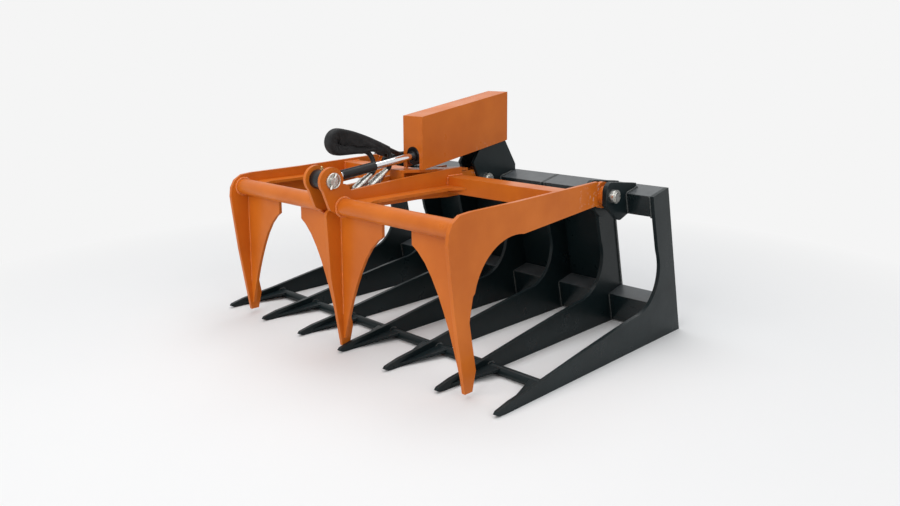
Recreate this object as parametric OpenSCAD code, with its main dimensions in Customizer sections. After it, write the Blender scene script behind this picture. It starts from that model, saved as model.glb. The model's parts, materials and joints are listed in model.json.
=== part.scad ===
// Skeleton grapple for a small loader, jaw closed. Millimetres, Z up, the teeth point to -Y.

/* [Lower frame] */
// Width over the two outer tines
overall_width = 1067; // [800:1:1500]
// Tine tip to the rear bottom edge
base_length = 752; // [600:1:1000]
// Rear top corner above the hinge axis
top_rise = 15; // [8:1:24]
// Forward lean of the rear edge, in degrees
rear_lean = 12; // [10:0.5:14]
// Number of tines
tine_count = 7; // [5:2:9]
// Tine plate thickness
tine_thickness = 10; // [6:1:16]
// Depth of a tine's upright at the top of the throat
upright_depth = 114; // [105:1:125]
// Radius of the throat of a tine
throat_radius = 105; // [90:1:115]
// Height of the tine's back at the bottom of the throat
throat_floor = 88; // [80:1:95]
// Depth of the top tube, front to back
top_tube_depth = 75; // [60:1:84]
// Height of the top tube
top_tube_height = 56; // [50:1:64]
// Depth of the lower tube
low_tube_depth = 64; // [50:1:70]
// Height of the lower tube
low_tube_height = 78; // [60:1:84]
// Wall of the square tubes
tube_wall = 6; // [3:0.5:9]
// Radius of the round front bar
front_bar_radius = 12; // [10:0.5:14]

/* [Hinge brackets] */
// Hinge axis ahead of the rear bottom edge
hinge_ahead = 222; // [205:1:250]
// Hinge axis above the ground
hinge_height = 388; // [380:1:400]
// Clear gap between the two ears of a bracket
ear_gap = 42; // [36:1:60]
// Ear plate thickness
ear_thickness = 12; // [8:1:16]
// Tower plate thickness
tower_thickness = 10; // [8:1:10]
// Hinge pin radius
hinge_pin_radius = 12.5; // [8:0.5:16]
// Outer radius of the collars on the hinge pins
collar_radius = 17; // [15:0.5:20]
// Width of a collar along the pin
collar_width = 14; // [8:1:20]

/* [Carrier plate] */
// Thickness of the plate that the loader picks up
carrier_thickness = 8; // [6:1:12]
// Height of its lower edge along the lean
carrier_bottom = 60; // [50:1:70]
// Height of its upper edge along the lean
carrier_top = 328; // [310:1:340]
// Length of the hooked top lip
hook_length = 34; // [24:1:44]
// Depth of the lower ledge
ledge_depth = 42; // [34:1:50]
// Width of a lock pin slot
slot_width = 28; // [20:1:34]
// Length of a lock pin slot
slot_length = 60; // [44:1:80]

/* [Clamp] */
// Sideways place of the clamp's middle
clamp_shift = -14; // [-16:0.5:-13]
// Middle of an outer arm in from the side of the frame
arm_inset = 100.5; // [95:0.5:106]
// Arm and tooth plate thickness
arm_thickness = 10; // [8:1:14]
// Hinge axis to the cylinder pin, front to back
clamp_reach = 550; // [545:1:556]
// Hinge axis down to the tooth tips
clamp_drop = 376; // [370:1:380]
// Cylinder pin above the hinge axis
pin_rise = 54; // [50:1:58]
// Clear gap between the two middle plates
middle_gap = 50; // [48:1:54]
// Radius of the ears round the cylinder pin
clevis_radius = 34; // [32:1:36]
// Outer radius of the front tube
front_tube_radius = 22; // [20:0.5:24]
// Wall of the front tube
front_tube_wall = 5; // [3:0.5:8]
// Front tube axis behind the cylinder pin
front_tube_back = 32; // [28:1:36]
// Front tube axis below the hinge axis
front_tube_below = 12; // [8:1:16]
// Depth of the rear cross tube
rear_tube_depth = 56; // [48:1:60]
// Height of the rear cross tube
rear_tube_height = 45; // [40:1:50]
// Front face of the rear cross tube ahead of the hinge axis
rear_tube_ahead = 161; // [155:1:168]
// Radius of the curve from arm to tooth
clamp_throat_radius = 140; // [130:1:146]
// Width of a tooth's wing plate at the top
wing_width = 160; // [140:1:164]
// Wing plate thickness
wing_thickness = 8; // [6:1:10]
// Height of a wing plate
wing_height = 330; // [320:1:336]
// Thickness of the flat gussets beside the arms
flange_thickness = 8; // [5:1:10]
// Width of the flat gussets at mid length
flange_width = 40; // [30:1:50]
// Outer radius of the hinge boss
boss_radius = 24; // [20:0.5:26]
// Sheet thickness of the box that joins the middle plates to the hinge
tail_sheet = 8; // [6:1:10]

/* [Cylinder] */
// Rear pin behind the hinge axis
rear_pin_back = 37; // [30:1:42]
// Rear pin above the hinge axis
rear_pin_rise = 119; // [116:1:122]
// Radius of both cylinder pins
cylinder_pin_radius = 10; // [9:0.5:10.5]
// Outer radius of the barrel
barrel_radius = 24; // [22:0.5:25]
// Outer radius of the gland
gland_radius = 25; // [25:0.5:27]
// Rear pin to the gland's front face
barrel_length = 295; // [290:1:300]
// Rod radius
rod_radius = 10; // [9:0.5:11]
// Black stroke sleeve radius
sleeve_radius = 12.5; // [12:0.5:13.5]
// Cylinder pin to the sleeve's rear end
sleeve_end = 160; // [150:1:165]
// Outer radius of the rod eye
eye_radius = 24; // [23:0.5:26]

/* [Cylinder guard] */
// Outside width of the guard
guard_width = 76; // [74:1:84]
// Sheet thickness of the guard
guard_sheet = 5; // [3:0.5:5]
// Length of the guard along the cylinder
guard_length = 341; // [336:1:344]
// Height of the guard's sides
guard_height = 142; // [130:1:150]

/* [Hidden] */
$fn = 48;

over = 1;                       // overrun of a cut past its faces
fit_gap = 0.2;                  // running clearance of a pin in its bore
side_gap = 1;                   // clearance beside a part that turns between two plates
weld = 0.3;                     // depth to which a weld joins two pieces
orange = [0.80, 0.40, 0.16];
black = [0.10, 0.10, 0.11];
zinc = [0.74, 0.74, 0.72];
chrome = [0.86, 0.87, 0.88];
rubber = [0.07, 0.07, 0.07];

// A point at height u along the rear edge and v ahead of it
function lean(u, v) = [-(u * sin(rear_lean) + v * cos(rear_lean)), u * cos(rear_lean) - v * sin(rear_lean)];
// Outline points given as shares of a length and a height, measured to the front and up
function shared(shares, l, h) = [for (s = shares) [-s[0] * l, s[1] * h]];
// Points round a circle from angle a to angle b
function arc(c, r, a, b, steps = 12) =
    [for (i = [0:steps]) let (t = a + (b - a) * i / steps) c + r * [cos(t), sin(t)]];

frame_height = hinge_height + top_rise;
arm_spacing = overall_width / 2 - arm_inset;
tine_pitch = (overall_width - tine_thickness) / (tine_count - 1);
tine_middle = (tine_count - 1) / 2;
hinge = [-hinge_ahead, hinge_height];
clevis = hinge + [-clamp_reach, pin_rise];
rear_pin = hinge + [rear_pin_back, rear_pin_rise];
ledge_reach = ledge_depth * cos(rear_lean) - (carrier_bottom - carrier_thickness) * sin(rear_lean);
front_reach = -clevis[0] + clevis_radius;
depth_shift = (front_reach - ledge_reach) / 2;

// Moves a node from the rear bottom edge to the middle of the footprint
module seat() { translate([0, depth_shift, 0]) children(); }
// A plate across X, drawn in the (y, z) plane
module plate(x, t) { translate([x - t / 2, 0, 0]) rotate([90, 0, 90]) linear_extrude(t) children(); }
// A round bar along X, centred on x
module bar(x, yz, r, l) { translate([x - l / 2, yz[0], yz[1]]) rotate([0, 90, 0]) cylinder(r = r, h = l); }

// Lower frame: the tine's upper edge and tip as shares of its length and height
tine_shares = [[0.408, 0.1935], [0.608, 0.1414], [0.807, 0.0844], [0.940, 0.0546],
               [0.993, 0.0323], [1, 0.0174], [0.986, 0.005], [0.960, 0]];
front_bar_share = 0.767;
top_u = frame_height / cos(rear_lean);
low_u = low_tube_depth * tan(rear_lean) + tube_wall;
front_bar_at = [-front_bar_share * base_length, front_bar_radius];

module tube_outline(u, height, depth) {
    polygon([lean(u, 0), lean(u + height, 0), lean(u + height, depth), lean(u, depth)]);
}
module top_tube_outline() { tube_outline(top_u - top_tube_height, top_tube_height, top_tube_depth); }
module low_tube_outline() { tube_outline(low_u, low_tube_height, low_tube_depth); }

module tine_outline() {
    centre = [-upright_depth - throat_radius, throat_floor + throat_radius];
    difference() {
        polygon(concat([[0, 0], lean(top_u, 0), lean(top_u, top_tube_depth),
                        lean(top_u - top_tube_height, top_tube_depth),
                        [-upright_depth, centre[1]], [centre[0], throat_floor]],
                       shared(tine_shares, base_length, frame_height)));
        translate(centre) circle(r = throat_radius, $fn = 96);
    }
}
module tine(i) {
    inner = i > 0 && i < tine_count - 1;
    color(black) seat() plate((i - tine_middle) * tine_pitch, tine_thickness) difference() {
        tine_outline();
        if (inner) translate(front_bar_at) {
            circle(r = front_bar_radius);
            translate([-front_bar_radius, -front_bar_radius - over])
                square([2 * front_bar_radius, front_bar_radius + over]);
        }
    }
}
module tine_1() { tine(0); }
module tine_2() { tine(1); }
module tine_3() { tine(2); }
module tine_4() { tine(3); }
module tine_5() { tine(4); }
module tine_6() { tine(5); }
module tine_7() { tine(6); }

// Sloping triangular plates that guide the load over the front bar, welded to both sides of a tine
gusset_width = 38;
gusset_sheet = 6;
gusset_rise_share = 1.2;        // top of the gusset at the bar, as a share of the bar's radius
gusset_tip_share = 0.944;       // tip of the gusset, as a share of the tine's length
gusset_low = 4;                 // underside of the gusset's tip above the ground
module tip_gusset(side) {
    tip = [-gusset_tip_share * base_length, gusset_low];
    back = [front_bar_at[0] - front_bar_radius, front_bar_radius * gusset_rise_share];
    run = norm(back - tip);
    difference() {
        translate([side * tine_thickness / 2, tip[0], tip[1]])
            rotate([atan2(back[1] - tip[1], back[0] - tip[0]), 0, 0])
                linear_extrude(gusset_sheet)
                    polygon([[0, 0], [side * gusset_width, run], [side * gusset_width, run + front_bar_radius],
                             [0, run + front_bar_radius]]);
        bar(0, front_bar_at, front_bar_radius, overall_width);
        translate([-overall_width / 2, front_bar_at[0], -over])
            cube([overall_width, front_bar_radius * 2, front_bar_radius * 3]);
    }
}
module tip_gussets() {
    color(black) seat() for (i = [0:tine_count - 1]) translate([(i - tine_middle) * tine_pitch, 0, 0]) {
        if (i < tine_count - 1) tip_gusset(1);
        if (i > 0) tip_gusset(-1);
    }
}

// One stretch of a leaning square tube between each two tines
module tube_run(u, height, depth) {
    clear = tine_pitch - tine_thickness;
    color(black) seat() for (i = [0:tine_count - 2])
        plate((i - tine_middle + 1 / 2) * tine_pitch, clear) difference() {
            tube_outline(u, height, depth);
            polygon([lean(u + tube_wall, tube_wall), lean(u + height - tube_wall, tube_wall),
                     lean(u + height - tube_wall, depth - tube_wall), lean(u + tube_wall, depth - tube_wall)]);
        }
}
module top_tube() { tube_run(top_u - top_tube_height, top_tube_height, top_tube_depth); }
module lower_tube() { tube_run(low_u, low_tube_height, low_tube_depth); }
module front_bar() {
    color(black) seat() bar(0, front_bar_at, front_bar_radius, overall_width - 2 * tine_thickness);
}

// Hinge brackets: outlines by the hinge's place and the top tube's corners
bracket_margin = 14.5;          // metal ahead of the pin
bracket_corner = 26;            // round front top corner of an ear
bracket_above = 36;             // top edge above the hinge axis
bracket_lobe = 20;              // round lobe under the top tube
bracket_low_share = 0.6;        // lower end of the front edge, as a share of bracket_above
lobe_offset = [-37, 8];         // middle of the lobe from the tube's lower front corner
tail_reach_share = 0.66;        // how far the tail covers the tube, as a share of its depth
tail_end = 12;                  // height of the tail's end above the tube
bracket_front = hinge[0] - hinge_pin_radius - bracket_margin;
tube_corner = lean(top_u - top_tube_height, top_tube_depth);
lobe_centre = tube_corner + lobe_offset;
function lobe_side() = concat([tube_corner + [0, -weld]], arc(lobe_centre, bracket_lobe, -70, -140, 8),
                              [[bracket_front, hinge[1] - bracket_low_share * bracket_above]]);
module bracket_outline() {
    top = hinge[1] + bracket_above;
    tail = lean(top_u, (1 - tail_reach_share) * top_tube_depth);
    difference() {
        polygon(concat(
            arc([bracket_front + bracket_corner, top - bracket_corner], bracket_corner, 180, 90, 8),
            [tail + [0, tail_end], tail, lean(top_u - top_tube_height, top_tube_depth / 2)], lobe_side()));
        top_tube_outline();
        translate(hinge) circle(r = hinge_pin_radius);
    }
}
module bracket(x) {
    color(black) seat() for (side = [-1, 1])
        plate(x + side * (ear_gap + ear_thickness) / 2, ear_thickness) bracket_outline();
}
module bracket_left() { bracket(clamp_shift - arm_spacing); }
module bracket_right() { bracket(clamp_shift + arm_spacing); }

// The middle bracket rises to the cylinder's rear pin
tower_radius = 38;
tower_ahead_share = 0.096;      // the nose of the tower ahead of the hinge axis, as a share of the reach
tower_above_share = 0.42;       // and above it, as a share of the rear pin's height
module tower_outline() {
    difference() {
        polygon(concat(
            [[bracket_front, hinge[1]],
             [hinge[0] - tower_ahead_share * clamp_reach, hinge[1] + tower_above_share * rear_pin_rise]],
            arc(rear_pin, tower_radius, 165, 0, 16),
            [lean(top_u, tube_wall) + [0, bracket_above / 2],
             lean(top_u, tube_wall), lean(top_u - top_tube_height, top_tube_depth / 2)], lobe_side()));
        top_tube_outline();
        translate(hinge) circle(r = hinge_pin_radius);
        translate(rear_pin) circle(r = cylinder_pin_radius);
    }
}
module tower() {
    color(black) seat() for (side = [-1, 1])
        plate(clamp_shift + side * (ear_gap + tower_thickness) / 2, tower_thickness) tower_outline();
}

// Pins of the three hinges, with a collar at each end
pin_centres = [clamp_shift - arm_spacing, clamp_shift, clamp_shift + arm_spacing];
pin_end = 3;                    // pin beyond its collar
function bracket_half(i) = ear_gap / 2 + (i == 1 ? tower_thickness : ear_thickness);
module hinge_pins() {
    color(zinc) seat() for (i = [0:2])
        bar(pin_centres[i], hinge, hinge_pin_radius, 2 * (bracket_half(i) + collar_width + pin_end));
}
module hinge_collars() {
    color(zinc) seat() for (i = [0:2], side = [-1, 1])
        difference() {
            bar(pin_centres[i] + side * (bracket_half(i) + collar_width / 2), hinge, collar_radius, collar_width);
            bar(pin_centres[i], hinge, hinge_pin_radius, 2 * (bracket_half(i) + collar_width + over));
        }
}
module tower_pin() {
    color(zinc) seat() bar(clamp_shift, rear_pin, cylinder_pin_radius, ear_gap + 2 * tower_thickness);
}

// Carrier plate on the rear edges of the five middle tines
carrier_width = (tine_count - 3) * tine_pitch + tine_thickness;
hook_lean = 45;                 // how far the hooked lip turns down, in degrees
module carrier_plate() {
    color(black) seat() plate(0, carrier_width)
        polygon([lean(carrier_bottom, 0), lean(carrier_top, 0), lean(carrier_top, -carrier_thickness),
                 lean(carrier_bottom, -carrier_thickness)]);
}
hook_seat = 4;                  // start of the lip above the plate's upper edge
module carrier_hook() {
    start = lean(carrier_top + hook_seat, -carrier_thickness);
    out = [cos(hook_lean - rear_lean), -sin(hook_lean - rear_lean)];
    up = [sin(hook_lean - rear_lean), cos(hook_lean - rear_lean)];
    color(black) seat() plate(0, carrier_width)
        polygon([lean(carrier_top, 0), lean(carrier_top + hook_seat, 0) + carrier_thickness * up,
                 start + hook_length * out + carrier_thickness * up, start + hook_length * out, start,
                 lean(carrier_top, -carrier_thickness)]);
}
slot_spacing_share = 0.62;      // slots apart, as a share of the plate's width
slot_spacing = slot_spacing_share * carrier_width;
ledge_relief = 1;               // step that keeps the ledge below the plate's face
module carrier_ledge() {
    ledge = lean(carrier_bottom - carrier_thickness, -ledge_depth);
    color(black) seat() difference() {
        plate(0, carrier_width)
            polygon([lean(carrier_bottom, 0), lean(carrier_bottom, -carrier_thickness),
                     lean(carrier_bottom - ledge_relief, -carrier_thickness - ledge_relief),
                     lean(carrier_bottom - ledge_relief, -ledge_depth), ledge,
                     lean(carrier_bottom - carrier_thickness, 0)]);
        for (side = [-1, 1]) translate([side * slot_spacing / 2, 0, 0]) {
            middle = lean(carrier_bottom, -(ledge_depth + carrier_thickness) / 2);
            translate([0, middle[0], middle[1]]) rotate([rear_lean, 0, 0])
                for (end = [-1, 1]) {
                    translate([end * (slot_length - slot_width) / 2, 0, -carrier_thickness * 2])
                        cylinder(r = slot_width / 2, h = carrier_thickness * 4);
                    translate([-(slot_length - slot_width) / 2, -slot_width / 2, -carrier_thickness * 2])
                        cube([slot_length - slot_width, slot_width, carrier_thickness * 4]);
                }
        }
    }
}

// Clamp: outlines as shares of the reach and drop, measured from the hinge axis
arm_front_shares = [[0.926, -1], [0.980, -0.515], [1.011, -0.147], [1.0145, -0.0985], [1.009, -0.031],
                    [0.989, 0.0215], [0.949, 0.0574], [0.891, 0.0658], [0.599, 0.072], [0.042, 0.097]];
arm_back_shares = [[0.0145, -0.0627], [0.577, -0.136], [0.713, -0.172]];
tooth_back_shares = [[0.880, -0.431], [0.900, -0.578], [0.8636, -0.878], [0.884, -1]];
throat_shares = [0.6207, -0.5]; // centre of the curve from arm to tooth
arm_end_radius = 34;
module at_hinge() { translate(hinge) children(); }
module clamp_throat() {
    translate(shared([throat_shares], clamp_reach, clamp_drop)[0]) circle(r = clamp_throat_radius, $fn = 128);
}
module arm_outline() {
    at_hinge() difference() {
        union() {
            difference() {
                polygon(shared(concat(arm_front_shares, arm_back_shares, tooth_back_shares), clamp_reach, clamp_drop));
                clamp_throat();
            }
            circle(r = arm_end_radius);
        }
        circle(r = boss_radius);
    }
}
module arm(side) { color(orange) seat() plate(clamp_shift + side * arm_spacing, arm_thickness) arm_outline(); }
module arm_left() { arm(-1); }
module arm_right() { arm(1); }

// Middle plates: ears for the cylinder pin in front, notched over the rear tube behind
front_tube_at = [clevis[0] + front_tube_back, hinge[1] - front_tube_below];
rear_tube_front = hinge[0] - rear_tube_ahead;
rear_tube_rear = rear_tube_front + rear_tube_depth;
rear_tube_below = 21;           // underside of the rear tube below the hinge axis
rear_tube_bottom = hinge[1] - rear_tube_below;
middle_drop = 26;               // underside of the middle plates below the hinge axis
middle_under = 12;              // metal under the rear tube
middle_top_shares = [[0.9225, 0.113], [0.895, 0.069], [0.734, 0.084], [0.4163, 0.1117], [0.2927, 0.1197],
                     [0.1909, 0.1197]];
middle_front_shares = [[1.0104, -0.045], [1.016, -0.03]];
module rear_tube_outline() {
    translate([rear_tube_front, rear_tube_bottom]) square([rear_tube_depth, rear_tube_height]);
}
// Points given as shares of the clamp's reach and drop from the hinge axis
function from_hinge(shares) = [for (p = shared(shares, clamp_reach, clamp_drop)) hinge + p];
module middle_outline() {
    low = hinge[1] - middle_drop;
    difference() {
        union() {
            polygon(concat([clevis - [clevis_radius, 0], clevis],
                           from_hinge(middle_top_shares),
                           [[rear_tube_rear, rear_tube_bottom - middle_under],
                            [rear_tube_front, rear_tube_bottom - middle_under],
                            [rear_tube_front - 2 * rear_tube_depth, low], [clevis[0] + middle_under, low]],
                           from_hinge(middle_front_shares)));
            translate(clevis) circle(r = clevis_radius);
        }
        rear_tube_outline();
        translate(clevis) circle(r = cylinder_pin_radius);
    }
}
module middle_plate(side) {
    color(orange) seat() plate(clamp_shift + side * (middle_gap + arm_thickness) / 2, arm_thickness) middle_outline();
}
module middle_plate_left() { middle_plate(-1); }
module middle_plate_right() { middle_plate(1); }
tooth_corner = 18;
middle_tooth_shares = [[0.926, -1], [0.980, -0.515]];
middle_tooth_root_shares = [[0.86, -0.053], [0.862, -0.2985]];
tooth_crest_share = 0.996;      // foremost point of the middle tooth, as a share of the reach
module middle_tooth() {
    root = from_hinge(middle_tooth_root_shares);
    crest = [hinge[0] - tooth_crest_share * clamp_reach, root[0][1]];
    color(orange) seat() plate(clamp_shift, arm_thickness)
        polygon(concat(from_hinge(middle_tooth_shares),
                       arc(crest + tooth_corner * [1, -1], tooth_corner, 180, 90, 6),
                       root, from_hinge(tooth_back_shares)));
}

tube_start = middle_gap / 2 + arm_thickness;
tube_stop = arm_spacing - arm_thickness / 2;
module front_tube(side) {
    middle = clamp_shift + side * (tube_start + tube_stop) / 2;
    color(orange) seat() difference() {
        bar(middle, front_tube_at, front_tube_radius, tube_stop - tube_start);
        bar(middle, front_tube_at, front_tube_radius - front_tube_wall, tube_stop);
    }
}
module front_tube_left() { front_tube(-1); }
module front_tube_right() { front_tube(1); }
module rear_tube() {
    color(orange) seat() plate(clamp_shift, 2 * tube_stop) difference() {
        rear_tube_outline();
        translate([rear_tube_front + tube_wall, rear_tube_bottom + tube_wall])
            square([rear_tube_depth - 2 * tube_wall, rear_tube_height - 2 * tube_wall]);
    }
}
// Box from the middle plates over the rear tube to the middle hinge: a folded top sheet and two sides
tail_top_shares = [[0.58, 0.149], [0.118, 0.101], [0, 0.08]];
tail_front_drop_share = 0.101;  // height of the folded front, as a share of the drop
tail_low_share = -0.06;         // underside of the sides at the rear tube
tail_width = ear_gap - 2 * side_gap;
module tail_box() {
    top = from_hinge(tail_top_shares);
    low = top[0] - [0, tail_front_drop_share * clamp_drop];
    narrow = middle_gap - tail_width;
    color(orange) seat() difference() {
        plate(clamp_shift, middle_gap)
            polygon([low, top[0], top[1], [top[1][0], top[1][1] - tail_sheet], top[0] + [tail_sheet, -tail_sheet],
                     low + [tail_sheet, 0]]);
        for (side = [-1, 1])
            translate([clamp_shift + side * middle_gap / 2 - narrow / 2, rear_tube_rear, hinge[1]])
                cube([narrow, hinge_ahead, hinge_height]);
    }
}
module tail_sides() {
    top = from_hinge(tail_top_shares);
    under = [0, tail_sheet];
    color(orange) seat() for (side = [-1, 1])
        plate(clamp_shift + side * (tail_width - tail_sheet) / 2, tail_sheet) difference() {
            union() {
                polygon([[rear_tube_front, rear_tube_bottom + rear_tube_height],
                         [rear_tube_front, top[1][1] - tail_sheet],
                         top[1] - under, top[2], hinge - [0, boss_radius] - under,
                         [rear_tube_rear, hinge[1] + tail_low_share * clamp_drop]]);
                translate(hinge) circle(r = arm_end_radius);
            }
            rear_tube_outline();
            translate(hinge) circle(r = boss_radius);
        }
}
boss_length = ear_gap - 2 * side_gap;
module hinge_bosses() {
    color(orange) seat() for (x = pin_centres) difference() {
        bar(x, hinge, boss_radius, boss_length);
        bar(x, hinge, hinge_pin_radius + fit_gap, boss_length + 2 * over);
    }
}

// Wing plates under the front tube, curved in towards the tooth tips
wing_shares = [[1, 0], [1, 0.135], [0.886, 0.17], [0.735, 0.24], [0.60, 0.33], [0.475, 0.435], [0.362, 0.55],
               [0.258, 0.67], [0.165, 0.80], [0.085, 0.92], [0.04, 1], [0, 1]];
wing_back = 12;                 // front face of a wing behind the front tube's axis
wing_top = hinge[1] - middle_drop;
module wing(x, side) {
    color(orange) seat() difference() {
        translate([x, front_tube_at[0] + wing_back + wing_thickness, wing_top]) rotate([90, 0, 0])
            linear_extrude(wing_thickness)
                polygon(concat([[0, 0]], [for (s = wing_shares) [side * s[0] * wing_width, -s[1] * wing_height]]));
        bar(clamp_shift, front_tube_at, front_tube_radius, 2 * arm_spacing);
    }
}
wing_start = arm_thickness / 2;
module wing_left() { wing(clamp_shift - arm_spacing + wing_start, 1); }
module wing_right() { wing(clamp_shift + arm_spacing - wing_start, -1); }
module wing_middle_left() { wing(clamp_shift - wing_start, -1); }
module wing_middle_right() { wing(clamp_shift + wing_start, 1); }

// Flat gussets beside the arms and the middle plates, flared with a round at both tubes
flange_drop = 8;                // underside below the hinge axis
flare_front = 58;
flare_rear = 30;
module flange(x, side) {
    start = front_tube_at[0] + front_tube_radius;
    stop = rear_tube_front;
    w = flange_width;
    color(orange) seat() difference() {
        translate([x, 0, hinge[1] - flange_drop])
            linear_extrude(flange_thickness) mirror([side > 0 ? 0 : 1, 0])
                polygon(concat([[0, front_tube_at[0]], [w + flare_front, front_tube_at[0]]],
                               arc([w + flare_front, start + flare_front], flare_front, -90, -180, 10),
                               arc([w + flare_rear, stop - flare_rear], flare_rear, 180, 90, 8),
                               [[0, stop]]));
        bar(clamp_shift, front_tube_at, front_tube_radius, 2 * arm_spacing);
    }
}
module flange_left() { flange(clamp_shift - tube_stop, 1); }
module flange_right() { flange(clamp_shift + tube_stop, -1); }
module flange_middle_left() { flange(clamp_shift - tube_start, -1); }
module flange_middle_right() { flange(clamp_shift + tube_start, 1); }

// Cylinder pin, its washers and the ring pins
washer_radius = 18;
washer_width = 4;
clevis_half = tube_start;
lynch_out = clevis_half + washer_width + pin_end; // middle of the ring pin from the clamp's middle
module clevis_pin() {
    color(zinc) seat() difference() {
        bar(clamp_shift, clevis, cylinder_pin_radius, 2 * (clevis_half + washer_width + 2 * pin_end));
        translate([clamp_shift + lynch_out, clevis[0], clevis[1]]) rotate([lynch_tilt, 0, 0])
            cylinder(r = lynch_radius + fit_gap, h = lynch_length, center = true);
    }
}
module clevis_washers() {
    color(zinc) seat() for (side = [-1, 1]) difference() {
        bar(clamp_shift + side * (clevis_half + washer_width / 2), clevis, washer_radius, washer_width);
        bar(clamp_shift, clevis, cylinder_pin_radius, 2 * (clevis_half + washer_width + over));
    }
}
ring_radius = 18;
ring_wire = 1.6;
lynch_radius = 3;
lynch_length = 40;
module lynch(x, yz, tilt) {
    translate([x, yz[0], yz[1]]) rotate([tilt, 0, 0]) {
        translate([0, 0, -lynch_length / 2]) cylinder(r = lynch_radius, h = lynch_length);
        translate([0, 0, lynch_length / 2 - ring_radius]) rotate([0, 90, 0])
            rotate_extrude() translate([ring_radius, 0]) circle(r = ring_wire);
    }
}
lynch_tilt = -25;
module lynch_pins() {
    color(zinc) seat() lynch(clamp_shift + lynch_out, clevis, lynch_tilt);
}

// Cylinder: drawn along -Y from the rear pin, then tilted to the cylinder pin
closed = norm(rear_pin - clevis);
tilt = atan2(rear_pin[1] - clevis[1], rear_pin[0] - clevis[0]);
module on_axis() { translate([clamp_shift, rear_pin[0], rear_pin[1]]) rotate([tilt, 0, 0]) children(); }
// A round bar on the cylinder's axis from distance a to distance b
module shank(a, b, r) { translate([0, -a, 0]) rotate([90, 0, 0]) cylinder(r = r, h = b - a); }
gland_length = 32;
gland_lip = 8;
bore_wall = 5;
eye_width = middle_gap - 2 * side_gap;
barrel_eye_radius = 28;
barrel_eye_width = ear_gap - 2 * side_gap;
barrel_start = 78;              // end cap, clear of the tower's front edges
barrel_cap = 14;                // thickness of the end cap
neck_radius = 18;
module barrel() {
    color(black) seat() on_axis() difference() {
        shank(barrel_start, barrel_length - gland_length, barrel_radius);
        shank(barrel_start + barrel_cap, barrel_length, barrel_radius - bore_wall);
    }
}
module gland() {
    color(black) seat() on_axis() difference() {
        union() {
            shank(barrel_length - gland_length, barrel_length - gland_lip / 2, barrel_radius);
            shank(barrel_length - gland_lip, barrel_length, gland_radius);
        }
        shank(barrel_length - gland_length - over, barrel_length + over, rod_radius + fit_gap);
    }
}
wiper_width = 5;
wiper_rim = 4;
module wiper() {
    color(rubber) seat() on_axis() difference() {
        shank(barrel_length, barrel_length + wiper_width, rod_radius + fit_gap + wiper_rim);
        shank(barrel_length - over, barrel_length + wiper_width + over, rod_radius + fit_gap);
    }
}
module barrel_eye() {
    color(black) seat() on_axis() difference() {
        union() {
            rotate([0, 90, 0]) cylinder(r = barrel_eye_radius, h = barrel_eye_width, center = true);
            shank(0, barrel_start, neck_radius);
        }
        rotate([0, 90, 0])
            cylinder(r = cylinder_pin_radius + fit_gap, h = barrel_eye_width + 2 * over, center = true);
    }
}
rod_start = 200;
piston_width = 16;
module rod() {
    color(chrome) seat() on_axis() difference() {
        shank(rod_start, closed, rod_radius);
        translate([0, -closed, 0]) rotate([0, 90, 0]) cylinder(r = eye_radius, h = eye_width, center = true);
    }
}
module piston() {
    color(zinc) seat() on_axis() shank(rod_start - piston_width, rod_start, barrel_radius - bore_wall - fit_gap);
}
sleeve_gap = 21;                // front end of the sleeve behind the ears
module rod_sleeve() {
    color(rubber) seat() on_axis() difference() {
        shank(closed - sleeve_end, closed - clevis_radius - sleeve_gap, sleeve_radius);
        shank(rod_start, closed, rod_radius);
    }
}

// The eye's bore is set low and wide: this is the linkage's open pivot
slack = 4.2;
bush_ring = 4;
module rod_eye() {
    color(black) seat() on_axis() translate([0, -closed, 0]) difference() {
        rotate([0, 90, 0]) cylinder(r = eye_radius, h = eye_width, center = true);
        rotate([0, 90, 0]) cylinder(r = eye_radius - bush_ring, h = eye_width + 2 * over, center = true);
    }
}
module eye_bush() {
    color([0.62, 0.45, 0.25]) seat() on_axis() translate([0, -closed, 0]) difference() {
        rotate([0, 90, 0]) cylinder(r = eye_radius - bush_ring, h = eye_width, center = true);
        translate([0, 0, -slack]) rotate([0, 90, 0])
            cylinder(r = cylinder_pin_radius + slack + fit_gap, h = eye_width + 2 * over, center = true);
    }
}
nipple_radius = 4;
nipple_height = 9;
nipple_ball = 2.4;
module grease_fitting() {
    color(zinc) seat() on_axis() translate([0, -closed, eye_radius - over]) {
        difference() {
            cylinder(r = nipple_radius, h = nipple_height / 2, $fn = 6);
            translate([0, 0, over - eye_radius]) rotate([0, 90, 0])
                cylinder(r = eye_radius, h = eye_width, center = true);
        }
        translate([0, 0, nipple_height / 2]) cylinder(r = nipple_radius / 2, h = nipple_height / 2);
        translate([0, 0, nipple_height]) sphere(r = nipple_ball);
    }
}

// Guard: a folded sheet over the barrel, open below
guard_behind = 47;              // rear end behind the rear pin
guard_below = 11;               // rear lower corner below the rear pin
guard_slope = 9.4;              // slope of the guard's edges, in degrees
guard_rear = rear_pin + [guard_behind, -guard_below];
guard_run = [-guard_length, -guard_length * tan(guard_slope)];
module guard_outline(high, overrun) {
    polygon([guard_rear - overrun * guard_run, guard_rear - overrun * guard_run + [0, high],
             guard_rear + (1 + overrun) * guard_run + [0, high], guard_rear + (1 + overrun) * guard_run]);
}
inner_width = guard_width - 2 * guard_sheet;
module guard() {
    color(orange) seat() difference() {
        plate(clamp_shift, guard_width) guard_outline(guard_height, 0);
        translate([0, 0, -over]) plate(clamp_shift, inner_width) guard_outline(guard_height - guard_sheet + over, 1);
        translate([clamp_shift, rear_pin[0], rear_pin[1]]) rotate([tilt, 0, 0]) for (at = [port_rear, port_front])
            translate([-guard_width, -at, 0]) rotate([0, 90, 0])
                cylinder(r = port_radius + side_gap, h = guard_width);
    }
}
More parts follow.
